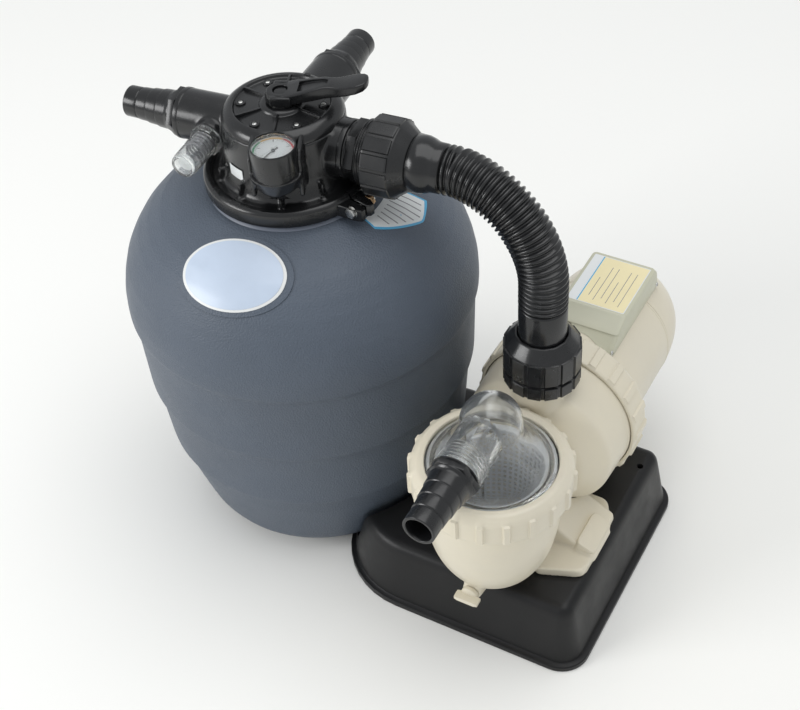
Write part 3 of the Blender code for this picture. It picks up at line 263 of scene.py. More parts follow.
def rounded(points, radius, steps=3):
    """The closed outline with each corner off the axis turned into a small arc.

    A third value in a point sets that corner's own radius.
    """
    made = []
    count = len(points)
    for i, point in enumerate(points):
        here = Vector(point[:2])
        size = point[2] if len(point) > 2 else radius
        before = Vector(points[i - 1][:2]) - here
        after = Vector(points[(i + 1) % count][:2]) - here
        size = min(size, before.length * 0.45, after.length * 0.45)
        if here.x < 1e-6 or size < 0.02 or pi - before.angle(after) < 0.03:
            made.append(tuple(here))
            continue
        start, end = here + before.normalized() * size, here + after.normalized() * size
        for k in range(steps + 1):
            t = k / steps
            made.append(tuple(start * (1 - t) ** 2 + here * 2 * t * (1 - t) + end * t * t))
    return made


def around(segments, ribs=0, share=0.3, ramp=0.15):
    """Angles round a lathe and how far out each stands, from 0 to 1: ribs take share of their pitch."""
    if not ribs:
        return [(2 * pi * i / segments, 0.0) for i in range(segments)]
    found = []
    pitch = 2 * pi / ribs
    between = max(2, segments // ribs - 4)
    for i in range(ribs):
        middle_of_rib = pitch * i
        half = pitch * share / 2
        edge = pitch * ramp / 2
        found += [(middle_of_rib - half - edge, 0.0), (middle_of_rib - half, 1.0),
            (middle_of_rib + half, 1.0)]
        found += [(middle_of_rib + half + edge, 0.0)]
        gap = pitch - 2 * half - 2 * edge
        found += [(middle_of_rib + half + edge + gap * (k + 1) / (between + 1), 0.0)
            for k in range(between)]
    return found


def lathe(outline, turns, depth=0.0, weights=None):
    """A closed outline of (radius, height) turned round Z, with ribs standing out where weights says."""
    mesh = bmesh.new()
    rings = []
    for i, (radius, height) in enumerate(outline):
        if radius < 1e-6:
            rings.append([mesh.verts.new((0, 0, height))])
            continue
        out = depth * (weights[i] if weights else 0.0)
        rings.append([mesh.verts.new(((radius + out * k) * cos(t), (radius + out * k) * sin(t), height))
            for t, k in turns])
    count = len(turns)
    for i, ring in enumerate(rings):
        other = rings[(i + 1) % len(rings)]
        if len(ring) == 1 and len(other) == 1:
            continue
        for k in range(count):
            n = (k + 1) % count
            corners = [ring[k % len(ring)], ring[n % len(ring)], other[n % len(other)],
                other[k % len(other)]]
            corners = list(dict.fromkeys(corners))
            if len(corners) > 2:
                mesh.faces.new(corners)
    return mesh


def turned_part(outline, radius=0.6, segments=96, steps=3):
    return lathe(rounded(outline, radius, steps), around(segments))


def washer(inner, outer, bottom, top, edge=0, segments=96):
    """A ring with a rectangular section, or a solid disc if inner is nought."""
    return turned_part([(inner, bottom), (outer, bottom), (outer, top), (inner, top)], edge, segments)


def rod(radius, bottom, top, segments):
    return washer(0, radius, bottom, top, 0, segments)


def ribbed(outline, depth, ribs, radius=0.6, share=0.4, ramp=0.2, segments=144):
    """A turned part whose outline points carry a fourth value, the share of the rib's depth there."""
    points = rounded([point[:3] for point in outline], radius)
    levels = [(Vector(point[:2]), point[3]) for point in outline]
    weights = [min(levels, key=lambda level: (level[0] - Vector(p)).length)[1] for p in points]
    return lathe(points, around(segments, ribs, share, ramp), depth, weights)


def prism(outline, z0, z1, bevel=0.0, steps=2):
    """A flat outline given a height, with its top and bottom edges rounded by bevel."""
    mesh = bmesh.new()
    bottom = [mesh.verts.new((x, y, z0)) for x, y in outline]
    top = [mesh.verts.new((x, y, z1)) for x, y in outline]
    count = len(outline)
    for k in range(count):
        n = (k + 1) % count
        mesh.faces.new((bottom[k], bottom[n], top[n], top[k]))
    mesh.faces.new(bottom[::-1])
    mesh.faces.new(top)
    if bevel:
        edges = [e for e in mesh.edges if abs(e.verts[0].co.z - e.verts[1].co.z) < 1e-6]
        bmesh.ops.bevel(mesh, geom=edges, offset=bevel, segments=steps, affect="EDGES", profile=0.5)
    return mesh


def box(corner, opposite, bevel=0.0, steps=2):
    (x0, y0, z0), (x1, y1, z1) = corner, opposite
    mesh = prism([(x0, y0), (x1, y0), (x1, y1), (x0, y1)], z0, z1)
    if bevel:
        bmesh.ops.bevel(mesh, geom=mesh.edges[:], offset=bevel, segments=steps, affect="EDGES", profile=0.5)
    return mesh


def rounded_rectangle(left, right, front, back, radii, steps=6):
    """Corners run from front left anticlockwise."""
    centres = ((left, front, 180), (right, front, 270), (right, back, 0), (left, back, 90))
    found = []
    for (x, y, start), radius in zip(centres, radii):
        cx = x + radius if x == left else x - radius
        cy = y + radius if y == front else y - radius
        for i in range(steps + 1):
            t = radians(start + 90 * i / steps)
            found.append((cx + radius * cos(t), cy + radius * sin(t)))
    return found


def hexagon(across_corners):
    return [(across_corners * cos(radians(60 * k)), across_corners * sin(radians(60 * k)))
        for k in range(6)]


def bands(mesh, rows):
    """Faces between each ring of points and the next."""
    for a, b in zip(rows, rows[1:]):
        for k in range(len(a)):
            n = (k + 1) % len(a)
            mesh.faces.new((a[k], a[n], b[n], b[k]))


def loft(rings):
    mesh = bmesh.new()
    rows = [[mesh.verts.new(p) for p in ring] for ring in rings]
    bands(mesh, rows)
    mesh.faces.new(rows[0][::-1])
    mesh.faces.new(rows[-1])
    return mesh


def stacked(levels, outline):
    """A loft through outline(inset) at each (height, inset)."""
    return loft([[(x, y, z) for x, y in outline(inset)] for z, inset in levels])


def moved(mesh, matrix):
    mesh.transform(matrix)
    return mesh


def merged(*meshes):
    """Several closed shells in one mesh."""
    whole = meshes[0]
    for other in meshes[1:]:
        kept = bpy.data.meshes.new("part")
        other.to_mesh(kept)
        whole.from_mesh(kept)
        bpy.data.meshes.remove(kept)
        other.free()
    return whole


def scratch(mesh):
    """A hidden object for a Boolean."""
    bmesh.ops.recalc_face_normals(mesh, faces=mesh.faces[:])
    data = bpy.data.meshes.new("scratch")
    mesh.to_mesh(data)
    mesh.free()
    made = bpy.data.objects.new("scratch", data)
    bpy.context.scene.collection.objects.link(made)
    return made


def combine(mesh, steps):
    """Applies (operation, mesh) Booleans and gives back one mesh."""
    target = scratch(mesh)
    tools = []
    for operation, tool in steps:
        tools.append(scratch(tool))
        modifier = target.modifiers.new("boolean", "BOOLEAN")
        modifier.operation = operation
        modifier.solver = "EXACT"
        modifier.object = tools[-1]
    return applied(target, tools)


def without(mesh, *tools):
    return combine(mesh, [("DIFFERENCE", tool) for tool in tools])


def applied(target, tools=()):
    graph = bpy.context.evaluated_depsgraph_get()
    done = bmesh.new()
    done.from_object(target, graph)
    for used in (target, *tools):
        data = used.data
        bpy.data.objects.remove(used, do_unlink=True)
        bpy.data.meshes.remove(data)
    return done


def melted(mesh, voxel, smooth):
    """The union of overlapping shells with soft blends where they meet."""
    target = scratch(mesh)
    remesh = target.modifiers.new("remesh", "REMESH")
    remesh.mode = "VOXEL"
    remesh.voxel_size = voxel
    soft = target.modifiers.new("smooth", "SMOOTH")
    soft.factor = 0.5
    soft.iterations = smooth
    return applied(target)


def piece(name, mesh, look, body="root", nodes=(), angle=34, matrix=None):
    """Makes the visible object, lets it ride on its body and stand for its CAD nodes."""
    if matrix is not None:
        mesh.transform(matrix)
    mesh.transform(Matrix.Scale(MM, 4))
    bmesh.ops.recalc_face_normals(mesh, faces=mesh.faces[:])
    data = bpy.data.meshes.new(name)
    mesh.to_mesh(data)
    mesh.free()
    data.polygons.foreach_set("use_smooth", [True] * len(data.polygons))
    data.set_sharp_from_angle(angle=radians(angle))
    data.materials.append(look)
    made = bpy.data.objects.new(name, data)
    bpy.context.scene.collection.objects.link(made)
    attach(made, body)
    if nodes:
        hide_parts(*nodes)
    return made


def screw_head(radius, height, matrix):
    """A domed head with a cross recess."""
    head = turned_part([(0, 0), (radius, 0), (radius, height * 0.5), (radius * 0.6, height * 0.92),
        (0, height)], radius * 0.3, 24)
    arm, wide = radius * 0.62, radius * 0.15
    slots = [box((-arm, -wide, height * 0.4), (arm, wide, height * 2)),
        box((-wide, -arm, height * 0.4), (wide, arm, height * 2))]
    return moved(without(head, *slots), matrix)


OVER_POT = shift(POT.x, POT.y, 0)
OVER_PIPE = shift(PIPE.x, PIPE.y, 0)
ALONG_PUMP = shift(PUMP.x, 0, PUMP.z) @ Matrix.Rotation(radians(-90), 4, "X")
SIGHT_SEAT = spin(TURN + 180) @ shift(75, 0, PORT_Z) @ place(direction=(0, 1, 0))
COVER_SCREWS = [spin(60 * i + 82, shift(43.5, 0, 0)) for i in range(6)]
UNION_REACH, TAIL_REACH = 78, 122  # from the valve's axis to the faces of its ports
# Each port's angle, reach and outer radius
PORTS = {"pump": (TURN, UNION_REACH, 31), "return": (TURN + 90, TAIL_REACH, 27.5),
    "waste": (TURN + 180, TAIL_REACH, 27.5)}
GAUGE_SIDE = -64  # degrees from +X to the gauge's block
MOTOR_RADIUS = 78
SADDLE = 78.4
HOSE_INSIDE = 21.5

# ---- Base and tank ----

LOBE_HEIGHT = low("tank").z - GAP
TANK_SIDE = [(128, 20), (137, 21.5), (146, 27), (153, 40), (158.5, 58), (164, 78), (171, 104),
    (175.6, 126.6), (180.4, 130.2)]
TANK_SIDE += [(181.4, 136), (185.6, 186), (188.2, 213), (192.6, 217), (193, 223), (195, 282), (196.2, 311),
    (199.6, 315.4), (200, 320)]
TANK_TOP = [(200, 327), (199.2, 342), (196.2, 358), (191.2, 375), (184, 390), (174.5, 405.5), (162, 420),
    (146.5, 433)]
TANK_TOP += [(128, 443), (111, 450), (96, 455), (84, 457.8), (76.5, 459)]
BASE_CORNERS = (104, 34, 34, 60)


def base_ring(z, inset):
    left, right = TANK_RADIUS - 116, high("base").x
    front, back = -160.0, 150.0
    radii = [max(corner - inset, 5) for corner in BASE_CORNERS]
    outline = rounded_rectangle(left + inset, right - inset, front + inset, back - inset, radii, 10)
    return [(x, y, z) for x, y in outline]


def round_tank(extra, top, lowest):
    side = [(r + extra, z) for r, z in TANK_SIDE if z < top]
    return [(0, lowest), (side[0][0], lowest), *side, (side[-1][0] + 6, top), (0, top)]


def make_base():
    walls = [(z, inset) for z, inset in ((0, 0.8), (1, 0), (6.4, 0), (7.6, 0.9), (8.2, 4.0), (9.6, 5.9),
        (30, 10.2), (55, 14.7))]
    walls += [(72, 17.8), (77, 19.2), (80.8, 21.2), (83.6, 24.0), (85.3, 27.4), (86, 31.5)]
    inner = [(-4, 10), (8, 10), (74, 22), (81.5, 28)]
    body = loft([base_ring(z, inset) for z, inset in walls])
    lobe = turned_part([(0, 0), (124, 0, 1.5), (124, 40, 0), (0, 40)], 1.5, 128)
    tank_space = turned_part(round_tank(6, BASE_TOP + 4, LOBE_HEIGHT), 0, 128)
    round_part = turned_part(round_tank(10, BASE_TOP + 8, LOBE_HEIGHT - 4), 0, 96)
    hollow = without(loft([base_ring(z, inset) for z, inset in inner]), round_part,
        rod(120, -10, LOBE_HEIGHT, 96))
    holes = []
    for x, y in ((386, 96), (206, 112)):
        hole = [(0, 60), (3.4, 60), (3.4, 84.6), (4.4, 87), (4.4, 92), (0, 92)]
        holes.append(moved(turned_part(hole, 0, 20), shift(x, y, 0)))
    steps = [("UNION", lobe)] + [("DIFFERENCE", tool) for tool in (tank_space, hollow, *holes)]
    piece("base_moulding", combine(body, steps), BASE, nodes=["base"], angle=28)


def make_tank():
    wall = [(r - 5, z) for r, z in (*TANK_SIDE[3::3], *TANK_TOP[1:-3:2])]
    neck = [(76.5, LIP_TOP - 6, 0.4), (84, LIP_TOP - 6, 0.8), (84, LIP_TOP, 0.8), (76.5, LIP_TOP),
        (76.5, LIP_TOP - 4)]
    neck += [(71, LIP_TOP - 4), (71, LIP_TOP), (64, LIP_TOP), (64, 453)]
    outline = [(0, TANK_SIDE[0][1]), *TANK_SIDE, *TANK_TOP, *neck, *wall[::-1], (124, 25), (0, 25)]
    outline = [(p[0], p[1], p[2] if len(p) > 2 else 2.2) for p in outline]
    shell = turned_part(outline, 2.2, 192, 2)
    boss = moved(washer(11, 20, 150, 178, 1.5, 48), spin(135, place(0, 0, 62, (1, 0, 0))))
    piece("tank_shell", merged(shell, boss), TANK, nodes=["tank"], angle=40)
    collar = turned_part([(76.8, 456.5), (90, 456.2), (88, 458.6, 1), (84, 461.2, 1), (76.8, 461.4)], 0.8,
        128)
    piece("tank_neck_collar", collar, NECK)
    cap = ribbed(
        [(0, -15, 0, 0), (9.6, -15, 1, 0), (9.6, 0.3, 0, 0), (20, 0.3, 1, 1), (20, 7, 2, 1), (11, 9, 1, 0),
            (10, 15, 1, 0), (0, 15, 0, 0)],
        1.2, 16, 0.6, segments=64,
    )
    wing = box((-19, -3, 6), (19, 3, 17), 1.5)
    piece("tank_drain_cap_moulded", merged(cap, wing), BLACK, "tank_cap", ["tank_drain_cap"],
          matrix=spin(135, place(178, 0, 62, (1, 0, 0))))


def tank_point(angle, z):
    """A point on the tank's skin, and the normal there."""
    profile = TANK_SIDE + TANK_TOP
    for (r0, z0), (r1, z1) in zip(profile, profile[1:]):
        if z0 <= z <= z1:
            t = (z - z0) / (z1 - z0)
            radius = r0 + (r1 - r0) * t
            slope = Vector((z1 - z0, r0 - r1)).normalized()
            break
    way = Vector((cos(radians(angle)), sin(radians(angle)), 0))
    normal = way * slope.x + Vector((0, 0, slope.y))
    return way * radius + Vector((0, 0, z)), normal


# ---- Valve ----


def make_clamp():
    bottom, top = LIP_TOP - 9.1, LIP_TOP + 10.6
    ring = [(77.5, bottom, 0.6), (90.6, bottom, 2), (92.5, bottom + 3, 1.5), (92.5, top - 3.2, 2.4),
        (89, top, 1.2)]
    ring += [(83.5, top, 1.5), (81.8, top - 2.2, 1), (78.6, top - 2.6, 0.8), (77.5, top - 4.6, 0.6)]
    for name, start in (("clamp_half_back", -15), ("clamp_half_front", 165)):
        half = turned_part(ring, 1, 192)
        keep = spin(start)
        away = moved(box((-120, -240, bottom - 9), (140, 0.9, top + 9)), keep)
        lugs = []
        for side in (1, -1):
            outline = [(88, 1), (114, 1), (117, 4), (117, 9), (108, 12.5), (90, 18)]
            lug = prism([(x * side, y) for x, y in outline][::side], bottom + 1, top - 4.5, 1.4, 3)
            lugs.append(moved(lug, keep))
        body = without(half, away)
        steps = [("UNION", lug) for lug in lugs]
        groove = washer(70, 84.6, LIP_TOP - 6.4, LIP_TOP + 7.8, 0, 192)
        for side in (1, -1):
            hole = place(105 * side, 0, (bottom + top) / 2, (0, 1, 0))
            steps.append(("DIFFERENCE", moved(rod(3.4, -20, 20, 24), keep @ hole)))
        steps.append(("DIFFERENCE", groove))
        piece(name + "_moulded", combine(body, steps), BLACK, nodes=[name])
    for side, angle in (("right", -15), ("left", 165)):
        place_of = spin(angle, place(105, 0, (bottom + top) / 2, (0, 1, 0)))
        shank = turned_part([(0, -12), (3, -12), (3, 19.4), (2.4, 20.6), (0, 20.6)], 0.3, 32)
        head = prism(hexagon(6.4), -15.6, -11.4, 0.5)
        under_head = washer(3.2, 7, -11.4, -10.6, 0.2, 40)
        piece(f"clamp_bolt_{side}_zinc", merged(shank, head, under_head), STEEL,
            nodes=[f"clamp_bolt_{side}"], matrix=place_of)
        nut = without(prism(hexagon(6.8), 11.4, 17.2, 0.6), rod(3.1, 5, 25, 24))
        piece(f"clamp_nut_{side}_brass", nut, BRASS, nodes=[f"clamp_nut_{side}"], matrix=place_of)


def make_valve_body():
    flange = LIP_TOP + 2 * GAP
    shape = [(22, 455), (26, 455), (26, flange), (84, flange), (84, flange + 7, 2), (80, flange + 8, 1),
        (74, flange + 8.4, 1)]
    shape += [(71, flange + 13, 4), (67.4, flange + 24, 6), (66, PORT_Z), (65.4, BODY_TOP - 8, 5)]
    shape += [(65, BODY_TOP, 1), (46, BODY_TOP), (46, BODY_TOP - 4), (18, BODY_TOP - 4), (18, flange + 4),
        (22, flange)]
    shells = [turned_part(shape, 0.6, 128)]
    for angle, reach, radius in PORTS.values():
        tube = turned_part([(20.6, 30), (radius + 1, 30), (radius, reach, 2), (20.6, reach)], 0, 64)
        shells.append(moved(tube, port_frame(angle)))
    block = stacked(
        ((494, 25), (502, 14), (512, 5), (530, 0)),
        lambda inset: rounded_rectangle(30, 108 - inset, -27.5 + inset, 27.5 - inset, (10, 24, 24, 10)))
    shells.append(moved(block, spin(GAUGE_SIDE)))
    for side in (-1, 1):
        cheek = stacked(
            ((500, 0), (546, 0), (553, 8)),
            lambda inset: rounded_rectangle(40, 88 - inset, 24.6 * side - 2.6, 24.6 * side + 2.6,
                (2.5,) * 4))
        shells.append(moved(cheek, spin(GAUGE_SIDE)))
    shells.append(moved(box((64, -2, 474), (82, 2, 506), 1.2), spin(GAUGE_SIDE)))
    for angle in (-30, -100, -130, 35, 60, 130, 155, 230):
        shells.append(moved(box((60, -2, 476), (77, 2, 496), 1), spin(angle)))
    boss = turned_part([(12.6, 14), (18, 14), (17.4, 34, 1), (12.6, 34)], 0, 48)
    shells.append(moved(boss, SIGHT_SEAT))
    body = melted(merged(*shells), 1.5, 6)
    piece("valve_body_moulded", body, BLACK, nodes=["valve_body"], angle=50)
    for name, (angle, reach, radius) in PORTS.items():
        rim = turned_part([(20.5, reach - 7), (radius - 1, reach - 7), (radius + 0.4, reach - 5.5, 1),
            (radius + 0.4, reach, 1), (20.5, reach)], 0.6, 96)
        piece(f"port_rim_{name}", rim, BLACK, matrix=port_frame(angle))


def make_cover():
    z = BODY_TOP + GAP
    dome = [(46, z), (64.4, z, 0.3), (64.2, z + 2.4, 2), (61.6, z + 7.8, 4), (56.4, z + 11.8, 3),
        (51.8, z + 13, 2), (50, z + 9.6, 1)]
    dome += [(47.5, z + 9.0, 1), (24.5, z + 10.6, 1), (22.8, z + 13.4, 1.2), (19.5, z + 14.7, 1),
        (7.6, z + 14.7, 0.5)]
    dome += [(7.6, z + 9.7, 0.2), (16, z + 9.7, 0.2), (17, z + 7.1, 0.2), (46, z + 7.1, 0.2)]
    shells = [turned_part(dome, 0.8, 160)]
    for i in range(6):
        rib = box((22, -1.3, z + 8), (51, 1.3, z + 12.8), 0.6)
        shells.append(moved(rib, spin(60 * i + 52)))
    for seat in COVER_SCREWS:
        post = turned_part([(0, z + 7.5), (5.4, z + 7.5), (5.2, z + 11.4, 0.8), (2.9, z + 11.4),
            (2.9, z + 10), (0, z + 10)], 0.3, 32)
        shells.append(moved(post, seat))
    arc = box((52, -3, z + 10), (57, 3, z + 13.6), 0.8)
    shells.append(moved(arc, spin(92)))
    piece("valve_cover_dome", merged(*shells), BLACK, nodes=["valve_cover"])
    for i, seat in enumerate(COVER_SCREWS):
        piece(f"cover_screw_{i}", screw_head(2.5, 1.6, seat @ shift(0, 0, z + 10.4)), STEEL)
    piece("thrust_washer_zinc", washer(7.6, 13.5, 558.3, 559.8, 0.2, 48), STEEL, "selector",
          ["thrust_washer"])


def make_handle():
    pivot = high("valve_cover").z + 6.5
    seat = shift(0, 0, pivot) @ spin(22)
    hub = turned_part([(8.2, -4.4), (17, -4.4, 1.5), (16.2, 2, 3), (14.4, 6.4, 1.4), (8.2, 6.4)], 0.6, 64)
    cheeks = [box((-9, s * 14 - 3.2, -4), (13, s * 14 + 3.2, 6.4), 1.4, 3) for s in (-1, 1)]
    rings = []
    stations = ((6, 15.5, -3.4, 7), (20, 14.8, -1.4, 10.4), (34, 13, 0.6, 13.6), (46, 10.8, 2.4, 16.2),
        (53, 10, 3.2, 16.2), (61, 11, 4.8, 16))
    stations += ((70, 12.4, 7, 17.4), (80, 12.6, 9.6, 19.6), (87, 10.8, 12, 21), (90.6, 7.4, 13.8, 21.8),
        (92, 4.2, 15, 21.4))
    for reach, half, bottom, top in stations:
        rings.append([(reach, y, z) for y, z in rounded_rectangle(-half, half, bottom, top, (1.8,) * 4, 3)])
    lever = loft(rings)
    groove = loft([[(r, y, z) for y, z in rounded_rectangle(-h, h, b, b + 9, (1.2,) * 4, 2)] for r, h, b in
                   ((19, 9.4, 6.6), (34, 8.4, 10.6), (44, 6.4, 13.2), (50, 4.8, 14))])
    shells = merged(hub, *cheeks)
    body = without(lever, groove)
    made = without(merged(shells, body), rod(8.0, -20, 30, 32))
    piece("handle_moulded", made, BLACK, "handle", ["valve_handle"], matrix=seat)
    pin = washer(0, 2, -13.8, 13.8, 0.4, 24)
    across = seat @ place(0, 0, 0, (0, 1, 0))
    piece("handle_pin_zinc", pin, STEEL, "valve_stem", ["handle_pin"], matrix=across)
    stem = turned_part([(0, 545), (7.1, 545), (7.1, pivot + 4.6, 0.8), (0, pivot + 4.6)], 0.3, 48)
    disc = washer(0, 44, 541.6, 546.6, 0.5, 64)
    piece("rotor_moulded", merged(stem, disc), BLACK, "valve_stem", ["valve_rotor"])


def make_gauge():
    top = high("gauge_case").z
    seat = shift(GAUGE.x, GAUGE.y, top)
    case = [(0, -40), (6, -40), (6, -28), (20.8, -28), (20.8, -33), (23.6, -33, 0.8), (23.6, -1.2, 0.9),
        (23, 0, 0.5), (22.2, 0, 0.3), (21.9, -2.6, 0.3)]
    case += [(21.9, -9.2), (0, -9.2)]
    piece("gauge_bezel", turned_part(case, 0.4, 96), BLACK, nodes=["gauge_case"], matrix=seat)
    dial = [(0, -9.1), (21.8, -9.1), (21.8, -8.2), (0, -8.2)]
    piece("gauge_face", turned_part(dial, 0.1, 80), DIAL, nodes=["gauge_dial"], matrix=seat)
    glass = [(0, -4.0), (21.7, -4.0), (21.7, -1.6, 0.5), (0, -1.5)]
    piece("gauge_glass", turned_part(glass, 0.2, 80), CLEAR, nodes=["gauge_lens"], matrix=seat)
    turn = spin(31.4)
    marks = []
    for i in range(41):
        long_mark = i % 10 == 0
        inner, half = (12.4 if long_mark else 14.4 if i % 5 == 0 else 15.4), (0.3 if long_mark else 0.14)
        mark = box((inner + 1, -half, -8.2), (17.6, half, -8.05))
        marks.append(moved(mark, spin(225 - 270 * i / 40)))
    piece("gauge_marks", merged(*marks), INK, matrix=seat @ turn)

    def arc(name, start, end, look):
        angles = [radians(start + (end - start) * i / 24) for i in range(25)]
        section = ((18.2, -8.2), (20.2, -8.2), (20.2, -8.03), (18.2, -8.03))
        sheet = loft([[(r * cos(t), r * sin(t), z) for r, z in section] for t in angles])
        piece(name, sheet, look, matrix=seat @ turn)

    arc("gauge_arc_green", 224, 130, GREEN)
    arc("gauge_arc_amber", 128, 62, AMBER)
    arc("gauge_arc_red", 60, -44, RED)
    hub = turned_part([(0, -8.0), (1.9, -8.0), (1.9, -6.6, 0.4), (0, -6.6)], 0.2, 24)
    blade = prism([(-6, -0.9), (0, -0.7), (15.4, -0.16), (15.4, 0.16), (0, 0.7), (-6, 0.9)], -7.7, -7.3)
    piece("gauge_needle_blade", merged(hub, blade), INK, "needle", ["gauge_needle"],
        matrix=seat @ spin(NEEDLE_REST))


def make_sight_glass():
    seat = SIGHT_SEAT
    glass = [(12.2, 23), (12.2, 34.3), (16.4, 34.3, 0.8), (16.4, 42, 1), (14.6, 43.5, 0.6), (14.2, 80, 1),
        (13.4, 86.4, 1.5), (11, 88, 0.8), (10.2, 86.6, 0.4)]
    glass += [(0, 86.2), (0, 84.2), (11.6, 84.2, 0.8), (12.2, 44), (10.6, 38), (10.6, 23)]
    lens = turned_part(glass, 0.5, 96)
    piece("sight_glass_clear", lens, CLEAR, nodes=["sight_glass"], matrix=seat)
    grips = [moved(box((15.6, -1.2, 35.4), (17.4, 1.2, 41.4), 0.4), spin(30 * i)) for i in range(12)]
    piece("sight_glass_grips", merged(*grips), CLEAR, matrix=seat)
    rings = []
    for i in range(5):
        rings.append(turned_part([(9.6, 40 + 5 * i), (11.4, 40 + 5 * i), (11.6, 41.4 + 5 * i),
            (11.4, 42.8 + 5 * i), (9.6, 42.8 + 5 * i)], 0.4, 48))
    piece("sight_glass_thread", merged(*rings), GREY, matrix=seat)
    disc = turned_part([(0, 78.4), (9.2, 78.4), (9.2, 79.6), (2, 79.9), (0, 80.8)], 0.3, 48)
    piece("sight_glass_disc", disc, PAPER, matrix=seat)


def tail(name, node, body, seat, root, tip, length):
    """A stepped hose tail with a hexagon at its root."""
    step = (length - 16) / 4
    barrel = [(13, 0.3), (root - 3, 0.3), (root - 3, 10, 0.8), (tip + 5, 12.5, 0.8)]
    width = tip + 4.4
    at = 13.5
    for i in range(3):
        barrel += [(width, at + 1, 0.5), (width - 0.5, at + step - 1.2, 0.5), (width - 1.7, at + step, 0.3)]
        at += step
        width -= 1.6
    barrel += [(tip + 0.1, at + 1, 0.4), (tip, length, 1.1), (tip - 3.2, length, 0.8), (13.6, length - 3)]
    shells = [
        turned_part(barrel, 0.4, 96),
        without(prism(hexagon(root + 0.6), 1.6, 9.6, 1.0, 3), rod(13.4, -5, 20, 48)),
        washer(13.4, root - 1.6, 0.3, 1.8, 0.3, 64),
    ]
    piece(name, merged(*shells), BLACK, body, [node], matrix=seat)


def make_tails():
    for name, angle in (("waste", TURN + 180), ("return", TURN + 90)):
        tail(f"{name}_tail_moulded", f"{name}_hose_tail", "root", port_frame(angle, TAIL_REACH), 26, 17, 68)
    suction = place(ELBOW.x, SOCKET_FACE, ELBOW.z, (0, -1, 0))
    tail("suction_tail_moulded", "suction_hose_tail", "strainer_lid", suction, 28, 17.5, 77)


# ---- Unions and hose ----


def nut_mesh(back):
    """A union nut with broad flat grips, whose nose tapers to the hose."""
    outer = [(35.6, back, 0.6, 0), (40.4, back, 1, 0), (40.8, back + 2.4, 0.8, 1),
        (40.8, back + 29, 1.2, 1), (40.2, back + 31.4, 1, 0)]
    outer += [(38.6, back + 33.2, 2, 0), (30.4, back + 44.2, 2, 0), (29.2, back + 45, 0.8, 0),
        (27.3, back + 45, 0.6, 0), (27.3, back + 27.8, 0, 0), (35.6, back + 27.8, 0, 0)]
    return ribbed(outer, 1.7, 14, 0.6, 0.74, 0.12, 168)


def make_unions():
    valve = port_frame(TURN)
    flange = [(17, 58), (20, 58), (20, 78.3), (30, 78.3, 0.6), (30, 80, 0.5), (29, 80.5, 0.4),
        (29, 92, 0.4), (34, 92.6, 0.5)]
    threads = []
    for i in range(5):
        at = 93.4 + 2.7 * i
        threads += [(34.2, at, 0.2), (35.2, at + 0.7, 0.3), (35.2, at + 1.3, 0.3), (34.2, at + 2.0, 0.2)]
    adapter = turned_part(flange + threads + [(34, 124), (17, 124)], 0.3, 96)
    nut = without(prism(hexagon(33.6), 80.6, 91.4, 1.2, 3), rod(18, 70, 100, 48))
    piece("pump_port_adapter_moulded", merged(adapter, nut), BLACK, nodes=["pump_port_adapter"],
        matrix=valve)
    piece("upper_union_nut_moulded", nut_mesh(102.3), NUT, "upper_nut", ["upper_union_nut"], matrix=valve)
    top = high("lower_union_collar").z
    piece("lower_union_nut_moulded", nut_mesh(top - 21.7), NUT, "lower_nut", ["lower_union_nut"],
        matrix=OVER_PIPE)
    bottom = low("lower_union_collar").z
    collar = [(29.4, bottom, 0.5, 0), (38.6, bottom, 1.2, 0), (40.6, bottom + 2.5, 0.8, 1),
        (40.6, bottom + 17, 0.8, 1), (39.6, top - 24, 1, 0)]
    collar += [(35, top - 23.4, 0.5, 0), (35, top, 0.4, 0), (21, top, 0.4, 0), (21, bottom + 33.3, 0, 0),
        (29.4, bottom + 33.3, 0, 0)]
    piece("lower_union_collar_moulded", ribbed(collar, 1.8, 14, 0.6, 0.72, 0.12, 168), NUT,
        nodes=["lower_union_collar"], matrix=OVER_PIPE)


def hose_line():
    """The centre line from the valve's seat to the pump's, as a list of points."""
    way = Vector((cos(radians(TURN)), sin(radians(TURN)), 0))
    top = Vector((0, 0, PORT_Z))
    end = Vector((PIPE.x, PIPE.y, 0))
    seat, bend_start = 124.3, 195
    start = top + way * bend_start
    across = Vector((end.x - start.x, end.y - start.y, 0))
    bend = across.length
    low_seat = high("lower_union_collar").z
    points = [top + way * (seat + (bend_start - seat) * i / 60) for i in range(60)]
    points += [start + across * sin(pi / 2 * i / 200) - Vector((0, 0, bend * (1 - cos(pi / 2 * i / 200))))
        for i in range(200)]
    foot = PORT_Z - bend
    points += [Vector((end.x, end.y, foot + (low_seat + 0.3 - foot) * i / 80)) for i in range(81)]
    return points


